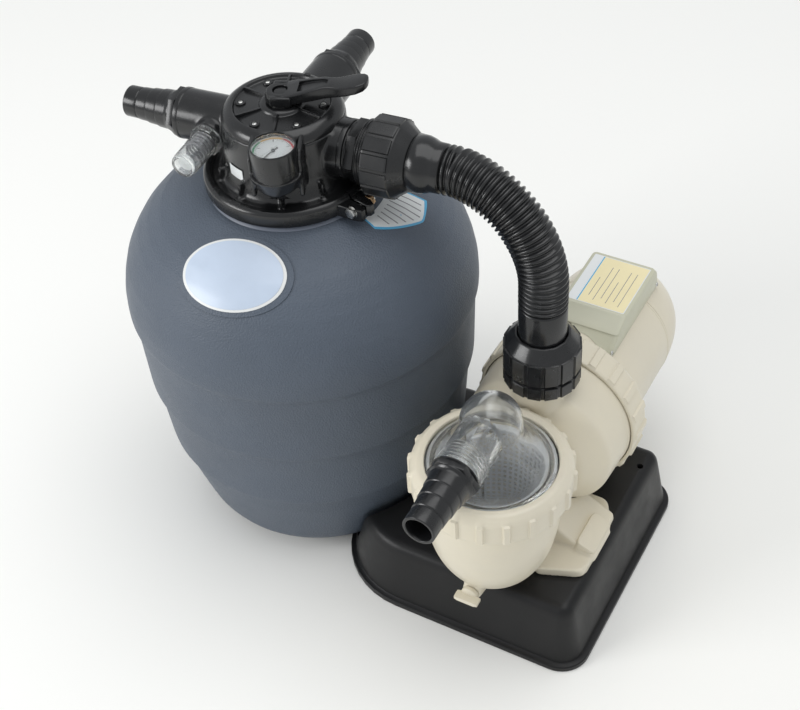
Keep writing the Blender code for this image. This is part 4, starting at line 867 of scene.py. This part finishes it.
def make_hose():
    points = hose_line()
    runs = [0.0]
    for a, b in zip(points, points[1:]):
        runs.append(runs[-1] + (b - a).length)
    total = runs[-1]
    cuff_start, cuff_end = 58.0, total - 62.0
    rings_count = 31
    pitch = (cuff_end - cuff_start) / rings_count
    stations = []
    shape = ((0.0, 0.0), (0.14, 0.12), (0.27, 0.75), (0.42, 1.0), (0.58, 1.0), (0.73, 0.75), (0.86, 0.12))
    for i in range(rings_count):
        stations += [(cuff_start + pitch * (i + at), 22.6 + 3.6 * share) for at, share in shape]
    lead = [(0, 33), (5.2, 33), (5.5, 32.4), (5.6, 26.2), (22.8, 26.1), (23.2, 29.6), (24, 30.6),
        (34, 30.2), (40, 28.6), (44.4, 26.6), (48, 26.2)]
    lead += [(cuff_start - 3, 26.0), (cuff_start - 1.4, 25.4), (cuff_start - 0.4, 23.2)]
    tail_end = [(cuff_end, 22.8), (cuff_end + 0.6, 25.2), (cuff_end + 2.4, 26.0), (total - 30, 26.1),
        (total - 5.7, 26.2), (total - 5.6, 32.4), (total - 5.3, 33), (total, 33)]
    stations = lead + stations + tail_end
    mesh = bmesh.new()
    side = Vector((0, 1, 0))
    sides = 56

    def at(run):
        k = min(max(sum(1 for r in runs if r <= run) - 1, 0), len(points) - 2)
        t = (run - runs[k]) / (runs[k + 1] - runs[k])
        here = points[k].lerp(points[k + 1], t)
        a, b = max(k - 1, 0), min(k + 2, len(points) - 1)
        return here, (points[b] - points[a]).normalized()

    outer, inner = [], []
    for run, radius in stations:
        here, tangent = at(run)
        one = tangent.cross(side).normalized()
        two = tangent.cross(one)
        for rows, size in ((outer, radius), (inner, HOSE_INSIDE)):
            rows.append([
                mesh.verts.new(here + (one * cos(2 * pi * k / sides) + two * sin(2 * pi * k / sides)) * size)
                for k in range(sides)])
    bands(mesh, outer + inner[::-1] + outer[:1])
    piece("connecting_hose_corrugated", mesh, HOSE, nodes=["connecting_hose"], angle=60)


# ---- Pump ----


def make_pump_housing():
    rim, centre, front = POT_RIM, PUMP.z, POT.y
    pot = [(0, rim - 161), (30, rim - 160, 4), (50, rim - 148, 8), (61, rim - 128, 10), (68, rim - 107, 10),
        (73, rim - 77, 8)]
    pot += [(75.4, rim - 45, 4), (75.8, rim - 4), (74.8, rim - 0.2, 0.6), (0, rim - 0.2)]
    volute = [(0, -32), (46, -32, 6), (63, -27, 6), (84, -9, 3), (88.6, -4, 2), (90.2, 30), (90.2, 42.4, 1),
        (91.4, 43.2, 0.5)]
    volute += [(91.4, 51.8, 0.5), (0, 51.8)]
    plug = place(POT.x, front, PLUG.z, (0, -1, 0))
    shells = [
        moved(turned_part(pot, 1, 96), OVER_POT),
        moved(turned_part(volute, 1, 128), ALONG_PUMP),
        moved(turned_part([(0, -100), (46, -100), (50, -20), (0, -20)], 3, 72), ALONG_PUMP),
        box((PUMP.x - 40, front + 20, centre - 40), (PUMP.x + 40, -26, centre + 28), 18, 5),
        moved(turned_part([(0, centre + 40), (34, centre + 60, 16), (29.6, centre + 92, 10),
            (28.8, centre + 104, 6), (28.8, PIPE_TOP - 0.2), (0, PIPE_TOP - 0.2)], 1, 72), OVER_PIPE),
        moved(turned_part([(0, 30), (13, 30), (11, 53.6, 1), (0, 53.6)], 1, 48), plug),
        moved(box((-4, 40, -3), (4, 53, 34), 2), shift(POT.x, front, 0) @ spin(180) @ shift(0, 0,
            PLUG.z - 2)),
    ]
    body = melted(merged(*shells), 1.8, 6)
    cavity = [(0, rim - 154), (28, rim - 153, 4), (43, rim - 143, 6), (54, rim - 125, 8),
        (61, rim - 104, 6), (62.5, rim - 77, 4)]
    cavity += [(62.5, rim - 10), (66, rim - 10), (66, rim + 9), (0, rim + 9)]
    cuts = [
        moved(turned_part(cavity, 0.5, 96), OVER_POT),
        moved(rod(75, -8, 70, 96), ALONG_PUMP),
        moved(rod(17, -90, 0, 48), ALONG_PUMP),
        moved(rod(21, centre + 55, 400, 48), OVER_PIPE),
        moved(rod(6.3, 20, 80, 32), plug),
        moved(washer(67.5, 71.5, rim - 2.7, rim + 6, 0, 96), OVER_POT),
        moved(washer(78.5, 90.2, rim - 30, rim + 10, 0, 96), OVER_POT),
        moved(washer(91.9, 140, 43, 60, 0, 96), ALONG_PUMP),
    ]
    piece("pump_housing_moulded", without(body, *cuts), CREAM, nodes=["pump_housing"], angle=45)
    ring = washer(67.8, 71.2, rim - 2.4, rim, 0.8, 96)
    piece("lid_seal", ring, RUBBER, nodes=["lid_oring"], matrix=OVER_POT)
    stem = [(0, -12), (5.4, -12), (5.4, 0.3), (10, 0.3, 0.8), (10, 5, 1.2), (6, 6.2, 1), (0, 6.6)]
    wing = prism([(-14, -2), (-10, -2.6), (10, -2.6), (14, -2), (14, 2), (10, 2.6), (-10, 2.6), (-14, 2)],
        4, 15, 1.3, 3)
    seat = place(POT.x, DRAIN_FACE, PLUG.z, (0, -1, 0))
    piece("drain_plug_moulded", merged(turned_part(stem, 0.4, 48), wing), CREAM, "drain_plug",
        ["pump_drain_plug"], matrix=seat)
    for i, (x, z) in enumerate(((-9, PIPE_TOP - 46), (9, PIPE_TOP - 48))):
        dot = turned_part([(0, 0), (2.2, 0), (1.8, 1.0, 0.3), (0, 1.0)], 0.2, 20)
        aim = place(PIPE.x + x, PIPE.y - 27.4, z, (x, -27.4, 0))
        piece(f"pipe_dot_{i}", dot, CREAM, matrix=aim)


def make_lid():
    floor = POT_RIM + GAP
    centre = ELBOW.z
    outer = [(0, floor), (75.2, floor, 0.6), (75.2, floor + 4.8, 0.6), (68.8, floor + 5.2, 0.4),
        (68, floor + 8, 1.5), (62, floor + 13, 5)]
    outer += [(52, floor + 20, 8), (42, floor + 31, 10), (35, floor + 45, 8), (33, floor + 58, 5)]
    outer += [(33 * cos(radians(t)), centre + 33 * sin(radians(t)), 0.01)
        for t in range(0, 90, 9)] + [(0, centre + 33)]
    inner = [(0, floor - 5), (62, floor - 5), (62, floor + 5, 2), (59, floor + 10.4, 4),
        (49.6, floor + 17.4, 8), (39.4, floor + 29, 10), (32, floor + 44, 8), (30, floor + 58, 5)]
    inner += [(30 * cos(radians(t)), centre + 30 * sin(radians(t)), 0.01)
        for t in range(0, 90, 9)] + [(0, centre + 30)]
    reach = POT.y - SOCKET_FACE
    elbow = place(POT.x, POT.y, centre, (0, -1, 0))
    socket = [(0, 10), (25.2, 10), (25.2, reach - 26, 0.4)]
    for i in range(5):
        at = reach - 25 + 4.4 * i
        socket += [(25.2, at, 0.2), (26, at + 1.0, 0.4), (26, at + 2.0, 0.4), (25.2, at + 3.0, 0.2)]
    socket += [(25.4, reach, 0.6), (0, reach)]
    steps = [
        ("UNION", moved(turned_part(socket, 0.2, 72), elbow)),
        ("DIFFERENCE", moved(turned_part(inner, 0.3, 96), OVER_POT)),
        ("DIFFERENCE", moved(rod(19.3, 8, reach + 20, 64), elbow)),
    ]
    piece("pump_lid_clear", combine(moved(turned_part(outer, 0.3, 128), OVER_POT), steps), CLEAR,
        "strainer_lid", ["pump_lid"], 40)
    ring_low, ring_high = low("lock_ring").z, high("lock_ring").z
    ring = [(77, ring_low, 0.6, 0), (85.4, ring_low, 1, 0), (86.4, ring_low + 4, 1.4, 1),
        (86.4, ring_high - 9.6, 1.4, 1), (84.4, ring_high - 5.6, 2, 0.3)]
    ring += [(79.6, ring_high - 1, 2, 0), (77, ring_high, 1.4, 0), (71, ring_high, 1, 0),
        (70.2, ring_high - 1.6, 0.6, 0)]
    ring += [(70.2, floor + 5.5, 0.3, 0), (76.6, floor + 5.3, 0.3, 0)]
    piece("lock_ring_moulded", ribbed(ring, 3.0, 20, 0.5, 0.2, 0.12, 200), CREAM, "lid_ring", ["lock_ring"],
        matrix=OVER_POT)


def make_basket():
    rim = POT_RIM - 9.7
    bottom = low("strainer_basket").z
    shells = []

    def radius(z):
        return 52.4 + 5.4 * (z - bottom) / (rim - bottom)

    for i in range(15):
        z = bottom + 3 + (rim - bottom - 5) * i / 14
        r = radius(z)
        shells.append(washer(r - 1.2, r + 1.0, z - 1.5, z + 1.5, 0.2, 72))
    for i in range(52):
        bar = loft([[(radius(z) - 1.3, -1.4, z), (radius(z) + 1.1, -1.4, z), (radius(z) + 1.1, 1.4, z),
            (radius(z) - 1.3, 1.4, z)] for z in (bottom + 1, rim)])
        shells.append(moved(bar, spin(360 * i / 52)))
    shells.append(turned_part([(56, rim, 0.4), (65.3, rim, 0.8), (65.3, rim + 2.9, 1), (56, rim + 2.9, 1)],
        0.4, 96))
    shells.append(washer(50, 53.6, bottom, bottom + 4, 0.5, 96))
    for r in range(8, 50, 6):
        shells.append(washer(r - 1.3, r + 1.3, bottom, bottom + 2.4, 0.3, 48))
    for i in range(20):
        shells.append(moved(box((6.6, -1.2, bottom + 0.1), (52, 1.2, bottom + 2.3), 0.2), spin(18 * i)))
    shells.append(washer(0, 6.9, bottom, bottom + 2.6, 0.3, 32))
    piece("strainer_basket_grid", merged(*shells), BASKET, nodes=["strainer_basket"], matrix=OVER_POT)


def make_feet():
    bottom = low("pump_foot").z
    x = PUMP.x
    outline = [(x - 98, -54, 6), (x - 60, -64, 8), (x + 33, -64, 6), (x + 44, -107, 8), (x + 96, -87, 8),
        (x + 98, -14, 10), (x + 79, 22, 8), (x - 71, 22, 8), (x - 98, 0, 8)]
    plate = prism(rounded([(px - x + 500, py, r) for px, py, r in outline], 6, 5), bottom, bottom + 12, 2.2,
        3)
    shells = [moved(plate, shift(x - 500, 0, 0))]
    for side in (-1, 1):
        pad = stacked(
            ((bottom + 6, -1.0), (bottom + 14, 0.4), (bottom + 15.6, 1.0), (bottom + 16, 2.2)),
            lambda inset: rounded_rectangle(-13 + inset, 13 - inset, -66 + inset, -16 - inset, (5.5,) * 4))
        shells.append(moved(pad, shift(x + 86 * side, 0, 0)))
        flank = [(40, bottom + 4), (95, bottom + 4), (94, bottom + 13), (70, bottom + 24),
            (40, bottom + 44)]
        made = prism([(px * side, pz) for px, pz in flank][::side], -62, 6, 5, 5)
        shells.append(moved(made, shift(x, 0,
            0) @ Matrix(((1, 0, 0, 0), (0, 0, 1, 0), (0, 1, 0, 0), (0, 0, 0, 1)))))
    clear_space = [(0, -36), (46.5, -34), (68.4, -26.4, 8), (82.8, -11.6, 8), (89.4, 6), (90.6, 29),
        (90.6, 70), (0, 70)]
    body = without(melted(merged(*shells), 1.6, 4), moved(turned_part(clear_space, 1, 96), ALONG_PUMP))
    piece("pump_foot_moulded", body, CREAM, nodes=["pump_foot"], angle=45)
    for side in (-1, 1):
        cap = stacked(
            ((-14, 0), (4.6, 0), (5.8, 0.7), (6.2, 2)),
            lambda inset: rounded_rectangle(-12 + inset, 12 - inset, -25 + inset, 25 - inset, (6,) * 4))
        tilt = shift(x + 85 * side, -39, bottom + 17) @ Matrix.Rotation(radians(22 * side), 4, "Y")
        piece(f"foot_cap_{(side + 1) // 2}", moved(cap, tilt), CREAM)
    block = box((x - 37.8, 108.2, bottom), (x + 37.8, 133.8, bottom + 29.8), 2.4, 3)
    saddle = moved(rod(SADDLE, 80, 160, 128), ALONG_PUMP)
    piece("motor_foot_moulded", without(block, saddle), BASE, nodes=["motor_foot"])


def make_motor():
    body = ALONG_PUMP
    ring = [(92.4, 46, 0.4, 0), (95.6, 46, 1.6, 0), (96.8, 49.4, 0.8, 1), (96.8, 77, 1.0, 1),
        (94, 82.4, 3, 0), (88, 84, 1.5, 0)]
    ring += [(79, 84, 0.4, 0), (79, 66.3, 0.3, 0), (92.4, 66.3, 0.3, 0)]
    piece("motor_ring_moulded", ribbed(ring, 2.2, 22, 0.5, 0.26, 0.12, 220), CREAM, nodes=["motor_ring"],
        matrix=body)
    front, back = 60.3, 200
    shell = [(17.3, front), (92, front, 0.4), (92, front + 5.7, 0.6), (MOTOR_RADIUS, front + 5.7, 2),
        (MOTOR_RADIUS, back - 0.4, 0.5), (74.8, back), (17.3, back), (17.3, back - 12)]
    shell += [(22.3, back - 12), (22.3, back - 4), (75, back - 4), (75, front + 4), (22.3, front + 4),
        (22.3, front + 12), (17.3, front + 12)]
    piece("motor_can", turned_part(shell, 0.3, 160), CREAM, nodes=["motor_housing"], matrix=body)
    outside = [(74.4, back + 0.3), (77.8, back + 0.3, 0.6), (77.4, back + 12, 5), (74.6, back + 30, 12),
        (68.6, back + 48, 14), (56, back + 67, 16), (36, back + 82.4, 14), (16, back + 90, 8),
        (0, COVER_BACK)]
    inside = [(0, COVER_BACK - 3), (16, back + 87, 6), (34.4, back + 79.6, 12), (53.8, back + 65, 12),
        (65.8, back + 46.6, 10), (71.6, back + 29.4, 8)]
    cover = turned_part(outside + inside, 0.4, 144, 5)
    slots = []
    for i in range(18):
        slots.append(moved(box((18, -1.7, 60), (44, 1.7, 140), 0.6), spin(20 * i, shift(0, 0, back))))
    cover = without(cover, *slots)
    piece("fan_cover_moulded", moved(cover, body), CREAM, nodes=["fan_cover"], angle=40)
    seam = turned_part([(MOTOR_RADIUS, back - 3.6), (SADDLE, back - 3.2, 0.2), (SADDLE, back - 1.0, 0.2),
        (MOTOR_RADIUS, back - 0.6), (77, back - 2)], 0.1, 128)
    piece("motor_seam", seam, CREAM, matrix=body)


GLAND_SEAT = place(low("terminal_box").x, 160, high("terminal_box").z - 5.5, (-1, 0, 0))


def box_level(z, near, far, inset):
    left, right = low("terminal_box").x, high("terminal_box").x
    return [(x, y, z) for x, y in rounded_rectangle(left + inset, right - inset, near, far, (5.0,) * 4)]


def make_terminal_box():
    front, back = low("terminal_box").y, high("terminal_box").y
    skirt, top, lid_top = low("terminal_box").z, high("terminal_box").z, high("terminal_lid").z
    near = front + 25
    shell = loft([box_level(z, y0, y1, inset) for z, y0, y1, inset in (
        (skirt, front + 0.4, back, 0), (top - 15.5, front + 0.4, back, 0), (top - 13.6, front + 2.4,
            back - 0.5, 0.1),
        (top - 2, near - 1.4, back - 2.6, 0.3), (top, near + 0.6, back - 3, 0.6))])
    tools = [
        box((BOX.x - 37, near + 4, skirt + 28), (BOX.x + 37, back - 8, top + 6), 1),
        moved(rod(SADDLE, 60, 270, 160), ALONG_PUMP),
        moved(rod(5, -10, 5, 32), GLAND_SEAT),
    ]
    piece("terminal_box_moulded", without(shell, *tools), CREAM_BOX, nodes=["terminal_box"], angle=30)
    lid = loft([box_level(z, y0, y1, inset) for z, y0, y1, inset in (
        (top + 0.3, near, back - 3.2, 0.2), (top + 3, near + 4.6, back - 4.6, 0.2), (lid_top - 2.4,
            near + 19.8, back - 9.4, 0.4),
        (lid_top - 0.8, near + 21.6, back - 10.4, 1.2), (lid_top, near + 23.4, back - 12, 3))])
    under = box((BOX.x - 34, near + 26, top - 6), (BOX.x + 34, back - 16, lid_top - 3), 1)
    piece("terminal_lid_moulded", without(lid, under), CREAM_BOX, nodes=["terminal_lid"], angle=30)
    label = prism(rounded_rectangle(BOX.x - 35, BOX.x + 35, near + 26, back - 15, (1.5,) * 4),
        lid_top - 0.6, lid_top + 0.1)
    piece("rating_label", label, PAPER)
    panel = prism(rounded_rectangle(BOX.x - 22, BOX.x + 34, near + 27, back - 16, (1.5,) * 4),
        lid_top - 0.6, lid_top + 0.18)
    piece("rating_panel", panel, YELLOW)
    piece("rating_edge", box((BOX.x - 23.4, near + 27, lid_top - 0.4),
        (BOX.x - 22, back - 16, lid_top + 0.2)), BLUE)
    rules = []
    for i in range(6):
        x = BOX.x - 14 + 7.6 * i
        rules.append(box((x, near + (34 if i % 2 else 40), lid_top - 0.2),
            (x + 0.7, back - (30 if i % 3 else 52), lid_top + 0.25)))
    piece("rating_rules", merged(*rules), GREY)
    for i, (y, z) in enumerate(((front + 8, top - 11), (back - 6, top - 17))):
        seat = place(high("terminal_box").x - 0.8, y, z, (1, 0, 0))
        piece(f"box_screw_{i}", screw_head(3.4, 2.2, seat), STEEL)
    gland = [(2.8, -6), (4.7, -6), (4.7, 0.3), (7, 0.3), (7, 7.6, 0.6), (6, 8.8, 0.4), (6, 14, 0.6),
        (5, 15.6, 0.6), (2.8, 15.9)]
    cap = without(prism(hexagon(7.4), 1, 6.4, 0.7), rod(4, -5, 20, 24))
    piece("cable_gland_moulded", merged(turned_part(gland, 0.3, 48), moved(cap, Matrix.Scale(0.95, 4))),
        BLACK, nodes=["cable_gland"], matrix=GLAND_SEAT)


# ---- Labels on the tank ----


def skin_over(point, normal):
    """Where a line from point along normal leaves the tank."""
    profile = TANK_SIDE + TANK_TOP
    near, far = -30.0, 40.0
    for _ in range(40):
        half = (near + far) / 2
        here = point + normal * half
        inside = False
        for (r0, z0), (r1, z1) in zip(profile, profile[1:]):
            if z0 <= here.z < z1:
                inside = Vector((here.x, here.y)).length < r0 + (r1 - r0) * (here.z - z0) / (z1 - z0)
                break
        near, far = (half, far) if inside else (near, half)
    return point + normal * near


def plate_on_tank(name, centre, across, upward, rings, look, out, thick, dome=0.0):
    """A closed sheet over the tank's skin whose outline is given in shares of two half axes."""
    centre, across, upward = Vector(centre), Vector(across), Vector(upward)
    normal = across.cross(upward).normalized()
    mesh = bmesh.new()
    tops, bottoms = [], []
    last = len(rings) - 1
    for i, ring in enumerate(rings):
        top_row, bottom_row = [], []
        for u, v in ring:
            skin = skin_over(centre + across * u + upward * v, normal)
            lift = thick + dome * (1 - (i / last) ** 2)
            top_row.append(mesh.verts.new(skin + normal * (out + lift)))
            bottom_row.append(mesh.verts.new(skin + normal * out))
        tops.append(top_row)
        bottoms.append(bottom_row)
    for sheet, flip in ((tops, False), (bottoms, True)):
        for a, b in zip(sheet, sheet[1:]):
            for k in range(len(a)):
                n = (k + 1) % len(a)
                corners = (a[k], b[k], b[n], a[n])
                mesh.faces.new(corners[::-1] if flip else corners)
    for k in range(len(rings[0])):
        n = (k + 1) % len(rings[0])
        mesh.faces.new((tops[last][k], bottoms[last][k], bottoms[last][n], tops[last][n]))
    mesh.faces.new(tops[0])
    mesh.faces.new(bottoms[0][::-1])
    return piece(name, mesh, look, angle=50)


def ovals(scale):
    """Rings from the middle of an oval to its edge, in shares of its half axes."""
    return [[(scale * s * cos(2 * pi * k / 72), scale * s * sin(2 * pi * k / 72))
        for k in range(72)] for s in (0.1, 0.3, 0.5, 0.7, 0.85, 0.95, 1.0)]


BODY_STICKER = [(-9 + 18 * k / 12, 491) for k in range(13)] + [(9 - 18 * k / 12, 508) for k in range(13)]


def make_labels():
    centre, across, upward = (12.6, -137, 430.6), (54.7, 16, 7.2), (-16.6, 30.2, 20.5)
    plate_on_tank("badge_pad", centre, across, upward, ovals(1.12), TANK, -4, 5.2, 0.3)
    plate_on_tank("badge_rim", centre, across, upward, ovals(1.0), WHITE, 0.4, 1.6)
    plate_on_tank("badge_plate", centre, across, upward, ovals(0.94), BADGE, 1.2, 1.2, 0.2)
    for name, inset, look, out in (("border", 0.0, BLUE, 0.1), ("sheet", 1.0, PAPER, 0.2)):
        shoulder_sheet(f"shoulder_label_{name}", -12.5 + inset, 21.5 - inset, 1.6 * inset, 452, look, out)
    for i in range(7):
        start = -5 + 3.6 * i
        shoulder_sheet(f"shoulder_rule_{i}", start, start + 0.6, 3.4, 450, GREY, 0.3)
    sheet = loft([[((67.4 + out) * cos(radians(-110 + a)), (67.4 + out) * sin(radians(-110 + a)), z)
        for a, z in BODY_STICKER] for out in (0, 0.4)])
    piece("body_sticker", sheet, PAPER, angle=60)


def shoulder_edge(angle):
    """The height of the shoulder label's lower edge, which runs to a corner."""
    return 446.5 - (angle + 12.5) * 16 / 21.5 if angle < 9 else 430.5 + (angle - 9) * 3 / 12.5


def shoulder_sheet(name, start, end, rise, top, look, out):
    """A thin closed sheet on the tank's shoulder, from rise above the label's lower edge up to top."""
    mesh = bmesh.new()
    steps = 24
    layers = []
    for lift in (out, out + 0.15):
        grid = []
        for j in range(7):
            row = []
            for k in range(steps + 1):
                angle = start + (end - start) * k / steps
                bottom = shoulder_edge(angle) + rise
                spot, normal = tank_point(angle, bottom + (top - bottom) * j / 6)
                row.append(mesh.verts.new(spot + normal * lift))
            grid.append(row)
        layers.append(grid)
    for grid in layers:
        for a, b in zip(grid, grid[1:]):
            for k in range(steps):
                mesh.faces.new((a[k], a[k + 1], b[k + 1], b[k]))
    below, above = layers
    for a, b in ((below[0], above[0]), (below[-1], above[-1]),
        ([r[0] for r in below], [r[0] for r in above]), ([r[-1] for r in below], [r[-1] for r in above])):
        for k in range(len(a) - 1):
            mesh.faces.new((a[k], a[k + 1], b[k + 1], b[k]))
    return piece(name, mesh, look, angle=50)


# ---- Lights, floor ----


def area_light(name, size, power, where, target):
    data = bpy.data.lights.new(name, "AREA")
    data.shape = "RECTANGLE"
    data.size, data.size_y = size
    data.energy = power
    made = bpy.data.objects.new(name, data)
    bpy.context.scene.collection.objects.link(made)
    aim = (Vector(target) - Vector(where)).to_track_quat("-Z", "Y")
    made.matrix_world = Matrix.Translation(where) @ aim.to_matrix().to_4x4()


def make_room():
    floor = bpy.data.meshes.new("floor")
    floor.from_pydata([(-9, -9, 0), (9, -9, 0), (9, 9, 0), (-9, 9, 0)], [], [(0, 1, 2, 3)])
    floor.materials.append(Paint("floor_pale", (0.93, 0.925, 0.895), 0.9).cloudy(0.5, 0.004).material)
    ground = bpy.data.objects.new("floor", floor)
    bpy.context.scene.collection.objects.link(ground)
    world = bpy.data.worlds.new("room")
    world.use_nodes = True
    sky = world.node_tree.nodes["Background"]
    sky.inputs["Color"].default_value = (0.95, 0.975, 1.0, 1)
    sky.inputs["Strength"].default_value = 0.62
    bpy.context.scene.world = world
    area_light("key", (1.7, 1.3), 52, (-2.1, -2.4, 1.7), (0.1, 0, 0.25))
    area_light("top", (3.0, 3.0), 46, (0.5, 0.3, 3.4), (0.1, 0.1, 0.2))


def repaint_inside():
    """Better finishes for the CAD pieces that stay, all of them inside the object."""
    looks = {
        WHITE: ("lateral_assembly", "standpipe", "top_diffuser"),
        RUBBER: ("neck_oring", "cover_oring", "spider_gasket", "shaft_seal"),
        BLACK: ("diffuser", "impeller", "seal_plate", "cooling_fan"),
        STEEL: ("valve_spring", "front_bearing", "rear_bearing", "motor_rotor", "motor_shaft", "capacitor"),
        COPPER: ("stator",),
    }
    for look, names in looks.items():
        for name in names:
            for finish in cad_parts[name].material_slots:
                finish.material = look


repaint_inside()
make_room()
make_base()
make_tank()
make_labels()
make_clamp()
make_valve_body()
make_cover()
make_handle()
make_gauge()
make_sight_glass()
make_tails()
make_unions()
make_hose()
make_pump_housing()
make_lid()
make_basket()
make_feet()
make_motor()
make_terminal_box()

bpy.context.scene.view_settings.view_transform = "Standard"
